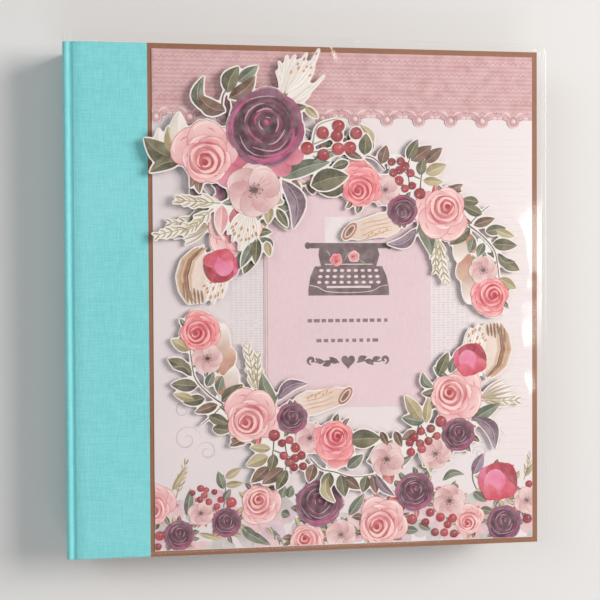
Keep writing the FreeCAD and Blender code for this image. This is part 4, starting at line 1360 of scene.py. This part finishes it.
def drawTypewriter(sheaf, z):
    ink = title["ink"]
    white = tone(232, 212, 214)

    def part(points, tint=ink, lift=0.0):
        addPatch(sheaf, points, z + lift, tint, tint)

    def box(u0, v0, u1, v1, tint=ink, lift=0.0):
        part([(u0, v0), (u1, v0), (u1, v1), (u0, v1)], tint, lift)

    box(137, 168, 164, 186, tone(236, 224, 222), 0.0)                          # sheet of paper
    box(129, 168.5, 172, 171.5, ink, 0.03)                                     # roller
    for u in (127.5, 173.5):
        part(roundOutline(u, 170, 1.7, 1.9, 0, 12), ink, 0.04)
    part([(134, 168.5), (167, 168.5), (168, 165), (166, 158), (135, 158), (133.5, 165)], ink, 0.05)
    part([(131.5, 158.5), (169.5, 158.5), (172, 153), (173.4, 146), (173.4, 142.3), (127.8, 142.3), (127.8, 146),
          (129, 153)], ink, 0.07)
    for v, half in ((156.2, 16.5), (152.8, 17.2), (149.6, 17.8)):
        for k in range(9):
            u = 150.6 + half * (k - 4) / 4 * 0.94
            part(roundOutline(u, v, 1.25, 0.85, 0, 10), white, 0.1)
    box(138, 146.4, 163, 147.6, white, 0.1)                                    # space bar
    stem(sheaf, [(128.5, 148), (133, 147), (138, 144.6), (150, 143.8), (163, 144.6), (168, 147), (172.8, 148)], 0.5,
         white,
         z + 0.11)
    box(137, 159.4, 164, 159.9, white, 0.1)
    rose(sheaf, 143.6, 161.8, 3.6, brightPinks, z + 0.12, 71)
    rose(sheaf, 153.2, 163.8, 3.3, pinks, z + 0.12, 72)
    leaf(sheaf, 148, 162, 150.5, 166.5, 1.8, sage, z + 0.1)
    leaf(sheaf, 157, 162, 161, 159.5, 1.6, sage, z + 0.1)
    leaf(sheaf, 140, 164, 138, 167.5, 1.8, sage, z + 0.1)


newsprint = {"patches": (
    # u, v of the middle, width, height, columns, rows
    (93, 118, 19, 104, 7, 74), (209, 118, 22, 100, 8, 71)), "tint": tone(211, 203, 205),
             "ledger": tone(228, 214, 212)}


def makeNewsprint(rowsTree, newsPaper, ledgerPaper):
    level = panelHigh.z + 0.02 * mm
    pieces = [ruledBars("newsprint_%d" % (k + 1), rowsTree, newsPaper, u, v, level, width, height, columns, rows,
                        0.84,
                        0.42, 0.35, 0.92, 11 + k)
              for k, (u, v, width, height, columns, rows) in enumerate(newsprint["patches"])]
    pieces.append(ruledBars("ledger_rules", rowsTree, ledgerPaper, 236, 140, level, 38, 180, 1, 46, 1.0, 0.22, 0.8,
                            1.0,
                            3))
    layPieces("printed_panel", *pieces)


# ---- clear jacket: film stretched over the cover and its raised flowers ----

film = {"thick": 0.16, "step": 2.0, "air": 0.12, "relief": 0.75, "headSag": 1.1, "weldIn": 1.0, "weldGap": 1.7,
        "weldWidth": 0.42, "foreWeld": 3.4, "headWeld": 3.2, "passes": 500, "weldRise": 0.14, "dotPitch": 1.25,
        "corner": 6.0, "slotAt": 156.0, "fineBand": 8.0,
        "fineStep": 0.3, "roughness": 0.13, "shine": 0.011, "grazingShine": 0.16,
        "frontCut": (290.6, 287.0), "backCut": (288.0, 287.0),
        "frontFlapCut": (109.8, 287.0), "backFlapCut": (111.1, 287.0)}


def maskHeight(xs, ys, mask, origin, cell, level):
    # where the cut card lies under the film, its height; elsewhere far below
    u = (xs - coverLeft) / mm
    v = (ys - coverTail) / mm
    columns = np.clip(((u - origin[0]) / cell).astype(int), 0, mask.shape[1] - 1)
    rows = np.clip(((v - origin[1]) / cell).astype(int), 0, mask.shape[0] - 1)
    inside = mask[rows, columns] & (u > origin[0]) & (v > origin[1])
    return np.where(inside, level, -1.0)


def roundedRows(gridX, gridT, x1, y0, y1):
    # Y for each share from 0 to 1 of the sheet, shorter where its fore corners are rounded
    r = film["corner"] * mm
    past = np.clip(gridX - (x1 - r), 0, r)
    trim = r - np.sqrt(np.maximum(r * r - past * past, 0))
    return (y0 + trim) + (y1 - y0 - 2 * trim) * gridT


def stretchFilm(wreathMask, bouquetMask, weldLevel):
    # a tent over everything under it: raised where something pushes, straight in between
    x0, x1 = coverLeft, filmHigh.x
    y0, y1 = filmLow.y, filmHigh.y
    columns = int(round((x1 - x0) / (film["step"] * mm)))
    rows = int(round((y1 - y0) / (film["step"] * mm)))
    xs = np.linspace(x0, x1, columns + 1)
    gridX, gridT = np.meshgrid(xs, np.linspace(0, 1, rows + 1))
    gridY = roundedRows(gridX, gridT, x1, y0, y1)
    push = np.full(gridX.shape, -1.0)
    on = (gridX <= coverFore) & (gridY >= coverTail) & (gridY <= coverHead)
    push[on] = coverFace + film["air"] * mm
    near = (gridX > panelLow.x) & (gridX < panelHigh.x) & (abs(gridY) < panelHigh.y)
    push[near] = panelHigh.z + 0.6 * mm
    wreathTop = wreathHigh.z + film["relief"] * mm
    bouquetTop = bouquetHigh.z + film["relief"] * mm
    push = np.maximum(push, maskHeight(gridX, gridY, *wreathMask, wreathTop))
    push = np.maximum(push, maskHeight(gridX, gridY, *bouquetMask, bouquetTop))
    for dy in (-1, 0, 1):
        for dx in (-1, 0, 1):
            push = np.maximum(push, np.roll(np.roll(push, dy, 0), dx, 1))
    push[~((gridX <= coverFore + 1.5 * film["step"] * mm) & (gridY >= coverTail - 1 * mm)
           & (gridY <= coverHead + 1.5 * film["step"] * mm))] = -1.0
    level = np.maximum(push, weldLevel)
    slotX = coverLeft + film["slotAt"] * mm
    welded = (gridX > x1 - film["foreWeld"] * mm) | ((gridX > slotX) & (gridY > y1 - film["headWeld"] * mm))
    level[welded] = weldLevel
    welded[0, :] = True
    level[0, :] = np.minimum(level[0, :], coverFace - 0.6 * mm)
    push[1, :] = np.where(on[1], coverFace + 0.4 * mm, push[1, :])
    fixed = welded
    fixed[:, 0] = True
    level[:, 0] = coverFace + 0.06 * mm
    lift = film["headSag"] * mm
    free = (gridX <= slotX) & (gridT > 0.999)
    toSlot = slotX - gridX[free]
    level[free] = coverFace + lift * (0.25 + 0.5 * np.sin(gridX[free] * 70) ** 2) * np.clip(toSlot / 0.03, 0, 1)
    level[free] -= 2.0 * mm * np.clip(1 - toSlot / 0.02, 0, 1)
    level[free] = np.maximum(level[free], weldLevel)
    fixed |= free
    for _ in range(film["passes"]):
        mean = (np.roll(level, 1, 0) + np.roll(level, -1, 0) + np.roll(level, 1, 1) + np.roll(level, -1, 1)) / 4
        mean[:, -1], mean[-1, :], mean[0, :] = level[:, -1], level[-1, :], level[0, :]
        level = np.where(fixed, level, np.maximum(mean, push))
    ripple = 0.05 * mm * np.sin(gridX * 190 + 3 * np.sin(gridY * 40)) * np.sin(gridY * 150)
    level = np.where(fixed, level, level + np.abs(ripple))
    return gridX, gridY, level


def fineEdges(low, high):
    # even steps, with fine ones near the high edge where the weld lines are
    band = high - film["fineBand"] * mm
    wide = np.linspace(low, band, int((band - low) / (film["step"] * mm)) + 1)
    return np.concatenate([wide, np.linspace(band, high, int(film["fineBand"] / film["fineStep"]) + 1)[1:]])


def addWelds(gridX, gridY, level, sign):
    # the same film on a finer grid at its fore and head edges, with two raised weld lines
    x0, x1 = gridX[0, 0], gridX[0, -1]
    y0, y1 = gridY[:, 0].min(), gridY[:, 0].max()
    xs, ys = fineEdges(x0, x1), fineEdges(y0, y1)
    across = np.array([np.interp(xs, gridX[0], row) for row in level])
    t = (ys - y0) / (y1 - y0)
    fine = np.array([np.interp(t, np.linspace(0, 1, level.shape[0]), column) for column in across.T]).T
    fineX, fineT = np.meshgrid(xs, t)
    fineY = roundedRows(fineX, fineT, x1, y0, y1)
    edge = x1 - fineX
    r = film["corner"] * mm
    cornerX, cornerY = x1 - r, y1 - r
    inCorner = (fineX > cornerX) & (fineY > cornerY)
    headEdge = np.where(fineX > coverLeft + film["slotAt"] * mm, y1 - fineY, 1.0)
    depth = np.minimum(edge, headEdge)
    depth = np.where(inCorner, r - np.hypot(fineX - cornerX, fineY - cornerY), depth)
    for inset in (film["weldIn"], film["weldIn"] + film["weldGap"]):
        ridge = np.exp(-((depth / mm - inset) / film["weldWidth"]) ** 2)
        fine = fine + sign * film["weldRise"] * mm * ridge
    return fineX, fineY, fine


def jacketSheet(name, jointPoints, gridX, gridY, level, material):
    # joint part and cover part as one closed sheet; over the cover its thickness goes up
    rows, columns = level.shape
    grid = [[(x, gridY[k, 0], z) for k in range(rows)] for x, z in jointPoints]
    grid += [[(gridX[k, i], gridY[k, i], level[k, i]) for k in range(rows)] for i in range(1, columns)]
    surface = np.array(grid)
    normal = np.cross(np.gradient(surface, axis=0), np.gradient(surface, axis=1))
    normal /= np.maximum(np.linalg.norm(normal, axis=2, keepdims=True), 1e-12)
    if normal[-10, rows // 2, 2] < 0:
        normal = -normal
    inner = surface + normal * (film["thick"] * mm)
    piece = closedSheet(name, surface.reshape(-1, 3), inner.reshape(-1, 3), len(grid), rows, material)
    piece.visible_shadow = False
    return piece


def seamPath(inset, startX, face):
    # along the head from startX, round the corner and down the fore edge, inset from the edge
    r = (film["corner"] - inset) * mm
    x1, y1, y0 = filmHigh.x - inset * mm, filmHigh.y - inset * mm, filmLow.y + 0.4 * mm
    path = [(startX + (x1 - r - startX) * k / 60, y1, face) for k in range(61)]
    path += [(x1 - r + r * math.sin(a), y1 - r + r * math.cos(a), face) for a in np.linspace(0.12, math.pi / 2, 9)]
    path += [(x1, y1 - r + (y0 - y1 + r) * k / 120, face) for k in range(1, 121)]
    return path


def weldDots(name, level, body, weldFilm, tree):
    bpy.ops.mesh.primitive_uv_sphere_add(segments=8, ring_count=4, radius=0.3 * mm)
    dot = bpy.context.object
    for vertex in dot.data.vertices:
        vertex.co.z *= 0.3
    path = seamPath(film["weldIn"] + film["weldGap"] / 2, coverLeft + film["slotAt"] * mm, level)
    places, gone = [path[0]], 0.0
    for a, b in zip(path, path[1:]):
        gone += math.dist(a, b)
        if gone >= film["dotPitch"] * mm:
            places.append(b)
            gone = 0.0
    dots = growPiece(name, tree, {"Piece": dot, "Size": 1.0, "Size Spread": 0.15, "Seed": 4, "Finish": weldFilm},
                     places)
    removePiece(dot)
    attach(dots, body)


def flapSheet(name, node, body, clearFilm):
    # the jacket's inner flap, from its free edge to the cover's fore edge
    low, high = corners(node)
    z0 = low.z if body == "front_cover" else high.z - film["thick"] * mm
    x0, x1, y0, y1 = low.x, coverFore + 0.2 * mm, coverTail - 0.2 * mm, coverHead + 0.2 * mm
    z1 = z0 + film["thick"] * mm
    verts = [(x, y, z) for z in (z0, z1) for x, y in ((x0, y0), (x1, y0), (x1, y1), (x0, y1))]
    faces = [(3, 2, 1, 0), (4, 5, 6, 7), (0, 1, 5, 4), (1, 2, 6, 5), (2, 3, 7, 6), (3, 0, 4, 7)]
    flap = meshObject(name, verts, faces, clearFilm)
    flap.visible_shadow = False
    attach(flap, body)
    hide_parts(node)
    return flap


def makeJacket(wreathMask, bouquetMask, clearFilm, weldFilm, tree):
    weldLevel = corners("jacket_front_flap")[1].z + 0.05 * mm
    stretched = stretchFilm(wreathMask, bouquetMask, weldLevel)
    landing = (coverLeft - frontHinge.x) / mm
    gridX, gridY, level = addWelds(*stretched, 1)
    radius = clothHigh.z - frontHinge.z + 0.3 * mm - film["thick"] * mm
    joint = jointPath(frontHinge, 1, radius, level[level.shape[0] // 2, 0], 0.35, landing)
    front = jacketSheet("jacket_front_film", joint, gridX, gridY, level, clearFilm)
    bendAround(front)
    gridX, gridY, level = addWelds(*stretched[:2], np.full(stretched[2].shape, filmBack), 0)
    joint = jointPath(backHinge, -1, backHinge.z - filmBack, filmBack, 0.2, landing)
    back = jacketSheet("jacket_back_film", joint, gridX, gridY, level, clearFilm)
    bendAround(back)
    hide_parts("jacket_front_sheet", "jacket_spine")
    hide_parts("jacket_back_sheet")
    weldDots("jacket_front_welds", weldLevel + film["thick"] * mm, "front_cover", weldFilm, tree)
    weldDots("jacket_back_welds", filmBack + film["thick"] * mm, "back_cover", weldFilm, tree)
    flap = flapSheet("jacket_front_lining", "jacket_front_flap", "front_cover", clearFilm)
    flap = flapSheet("jacket_back_lining", "jacket_back_flap", "back_cover", clearFilm)


filmBack = corners("jacket_back_sheet")[0].z


# ---- papers, boards and pages that come with the frame ----

pageTones = {"blush": tone(232, 200, 196), "sage": tone(188, 202, 186), "cream": tone(240, 232, 216),
             "teal": tone(168, 210, 208), "rosette": tone(206, 140, 146), "leaf": tone(132, 152, 128)}


def patternedPaper(name, ground, figure, scale, kind):
    # a small printed repeat: stripes, dots or checks in the paper's own plane
    material, tree, shader, coords = newMaterial(name, 0.65)
    split = addNode(tree, "ShaderNodeSeparateXYZ", {"Vector": coords})
    waves = [calc(tree, "COSINE", calc(tree, "MULTIPLY", split.outputs[axis], 2 * math.pi * scale)) for axis in "XY"]
    both = calc(tree, "ADD", *waves)
    value, low, high = {"stripes": (waves[0], 0.35, 0.5), "dots": (both, 1.35, 1.5),
                        "checks": (both, -0.6, 1.4)}[kind]
    colour = blendColours(tree, ramp(tree, value, low, high), pageTones[ground], pageTones[figure])
    fibre = noiseValue(tree, coords, 800, 4)
    colour = cloudy(tree, colour, fibre, 0.4, 0.8, 0.2, tone(250, 246, 240))
    tree.links.new(colour, shader.inputs["Base Color"])
    return material


papers = {  # endings of the node names, tone, fleck, roughness, grain
    "greyBoard": (("_board",), (150, 142, 132), (170, 162, 150), 0.9, 0.12),
    "kraftCard": (("_kraft",), (150, 101, 74), (166, 118, 90), 0.6, 0.05),
    "pageKraft": (("_leaf",), (176, 124, 88), (190, 140, 102), 0.75, 0.06),
    "gussetKraft": (("gusset_strip", "_tab"), (162, 112, 78), (180, 130, 94), 0.8, 0.06),
    "creamLiner": (("_liner",), (240, 232, 218), (248, 242, 232), 0.75, 0.04),
    "whiteFoam": (("foam_pads", "pocket_tape"), (238, 238, 234), (246, 246, 244), 0.9, 0.05),
    "tagCard": (("photo_mat", "_tag"), (242, 234, 212), (248, 242, 226), 0.7, 0.04),
    "titleCard": (("title_card",), (231, 204, 208), (236, 212, 214), 0.6, 0.03)}


def paintFrameNodes(clearFilm):
    finishes = {}
    for name, (endings, plain, fleck, roughness, grain) in papers.items():
        finishes[endings] = paperMaterial(name, tone(*plain), tone(*fleck), roughness, grain)
    fronts = [patternedPaper("blushDots", "blush", "rosette", 70, "dots"),
              patternedPaper("creamStripes", "cream", "blush", 90, "stripes")]
    backs = [patternedPaper("sageChecks", "sage", "leaf", 60, "checks"),
             patternedPaper("tealStripes", "teal", "cream", 80, "stripes")]
    finishes["_pocket"] = patternedPaper("pocketDots", "teal", "cream", 110, "dots")
    finishes["_panel"] = panelMaterial("panelPaper")
    finishes["_flap"] = clearFilm
    for name, node in frame["nodes"].items():
        chosen = [finish for endings, finish in finishes.items() if name.endswith(endings)]
        if name.endswith(("_front_mat", "_back_mat")):
            chosen.append((fronts if "front" in name else backs)[int(name.split("_")[1]) % 2])
        if chosen:
            node.data.materials.clear()
            node.data.materials.append(chosen[-1])


# ---- studio ----

studio = {
    "cameraAt": (-0.0891, 0.011, 0.6269), "cameraTurn": (-1.023, -7.893, -0.289), "lens": 64.76,
    "lamps": (  # place, aimed at, width, height, watts, colour
        ((1.30, 0.36, 1.10), (0.0, 0.0, 0.03), 0.85, 0.85, 28.6, (1.0, 0.97, 0.94)),
        ((-1.1, 0.5, 1.1), (0.0, 0.0, 0.0), 0.8, 0.8, 4.5, (0.97, 0.98, 1.0)),
        ((0.1, -0.9, 1.0), (0.0, 0.0, 0.0), 0.6, 0.4, 2.0, (1.0, 1.0, 1.0))),
    "world": (0.75, 0.76, 0.78), "worldStrength": 0.36, "floor": tone(226, 224, 222)}


def makeStudio():
    floorPaper = paperMaterial("paleFloor", studio["floor"], studio["floor"], 0.9, 0.0)
    bpy.ops.mesh.primitive_plane_add(size=6, location=(0, 0, -0.0003))
    floor = bpy.context.object
    floor.name = "floor"
    floor.data.materials.append(floorPaper)
    for k, (place, aim, width, height, watts, colour) in enumerate(studio["lamps"]):
        data = bpy.data.lights.new("lamp_%d" % (k + 1), "AREA")
        data.shape, data.size, data.size_y, data.energy, data.color = "RECTANGLE", width, height, watts, colour
        lamp = linkObject("lamp_%d" % (k + 1), data)
        lamp.location = place
        lamp.rotation_euler = (Vector(aim) - Vector(place)).to_track_quat("-Z", "Y").to_euler()
    world = bpy.data.worlds.new("studioWorld")
    world.use_nodes = True
    world.node_tree.nodes["Background"].inputs["Color"].default_value = (*studio["world"], 1)
    world.node_tree.nodes["Background"].inputs["Strength"].default_value = studio["worldStrength"]
    bpy.context.scene.world = world
    cameraData = bpy.data.cameras.new("camera")
    cameraData.lens = studio["lens"]
    cameraData.sensor_width = 36
    cameraData.clip_start = 0.01
    camera = linkObject("camera", cameraData)
    camera.location = studio["cameraAt"]
    camera.rotation_euler = [math.radians(a) for a in studio["cameraTurn"]]
    bpy.context.scene.camera = camera
    bpy.context.scene.view_settings.view_transform = "Standard"


# ---- make everything ----

linenCloth = linenMaterial()
paintPaper = paintMaterial("paintedPaper")
whiteCard = paperMaterial("cutCard", tone(240, 232, 227), tone(247, 240, 236), 0.6, 0.02)
inkPaper = paperMaterial("titleInk", title["paleInk"], title["ink"], 0.7, 0.03)
newsPaper = paperMaterial("newsInk", newsprint["tint"], newsprint["tint"], 0.8, 0.02)
ledgerPaper = paperMaterial("ledgerInk", newsprint["ledger"], newsprint["ledger"], 0.8, 0.02)
clearFilm = filmMaterial("clearFilm")
weldFilm = paperMaterial("weldedFilm", tone(226, 230, 232), tone(240, 242, 244), 0.25, 0.0)
onPoints, ruledRows = setOnPointsTree(), ruledRowsTree()

print("painting the frame's papers")
paintFrameNodes(clearFilm)

print("covering the joints with linen")
makeLinen(linenCloth)

print("printing the panel")
band = newSheaf(printed=True)
bandArt(band, panelHigh.z / mm)
bandPiece = sheafObject("panel_flower_band", band, paintPaper)
layPieces("printed_panel", bandPiece)
makeNewsprint(ruledRows, newsPaper, ledgerPaper)
makeTitle(paintPaper, ruledRows, inkPaper)
makeLace(paintPaper, onPoints)

print("cutting the wreath")
halfSheaf = newSheaf()
halfWreath(halfSheaf, wreath["level"] - 0.02)
cu, cv = wreath["middle"]
mx, my = spot(cu, cv)
turnedSheaf = dict(halfSheaf, verts=[(2 * mx - x, 2 * my - y, z + 0.004 * mm) for x, y, z in halfSheaf["verts"]],
                   outlines=[[(2 * cu - x, 2 * cv - y) for x, y in o] for o in halfSheaf["outlines"]])
halves = [sheafObject("wreath_flowers_%d" % (k + 1), half, paintPaper) for k,
          half in enumerate((halfSheaf, turnedSheaf))]
wreathCard, *wreathMask = cutCard("wreath_card", halfSheaf["outlines"] + turnedSheaf["outlines"], wreath["border"],
                                  wreathLow.z, wreathHigh.z, whiteCard)
bouquetSheaf = newSheaf()
bouquetArt(bouquetSheaf, bouquet["level"] - 0.02)
bouquetPiece = sheafObject("bouquet_flowers", bouquetSheaf, paintPaper)
bouquetCard, *bouquetMask = cutCard("bouquet_card", bouquetSheaf["outlines"], bouquet["border"], bouquetLow.z,
                                    bouquetHigh.z, whiteCard)
layPieces("die_cut", *halves, wreathCard, bouquetPiece, bouquetCard)
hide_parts("wreath_die_cut")
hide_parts("bouquet_die_cut")

print("stretching the jacket")
makeJacket(wreathMask, bouquetMask, clearFilm, weldFilm, onPoints)

print("setting the studio")
makeStudio()
for tree in (onPoints, ruledRows):
    bpy.data.node_groups.remove(tree)
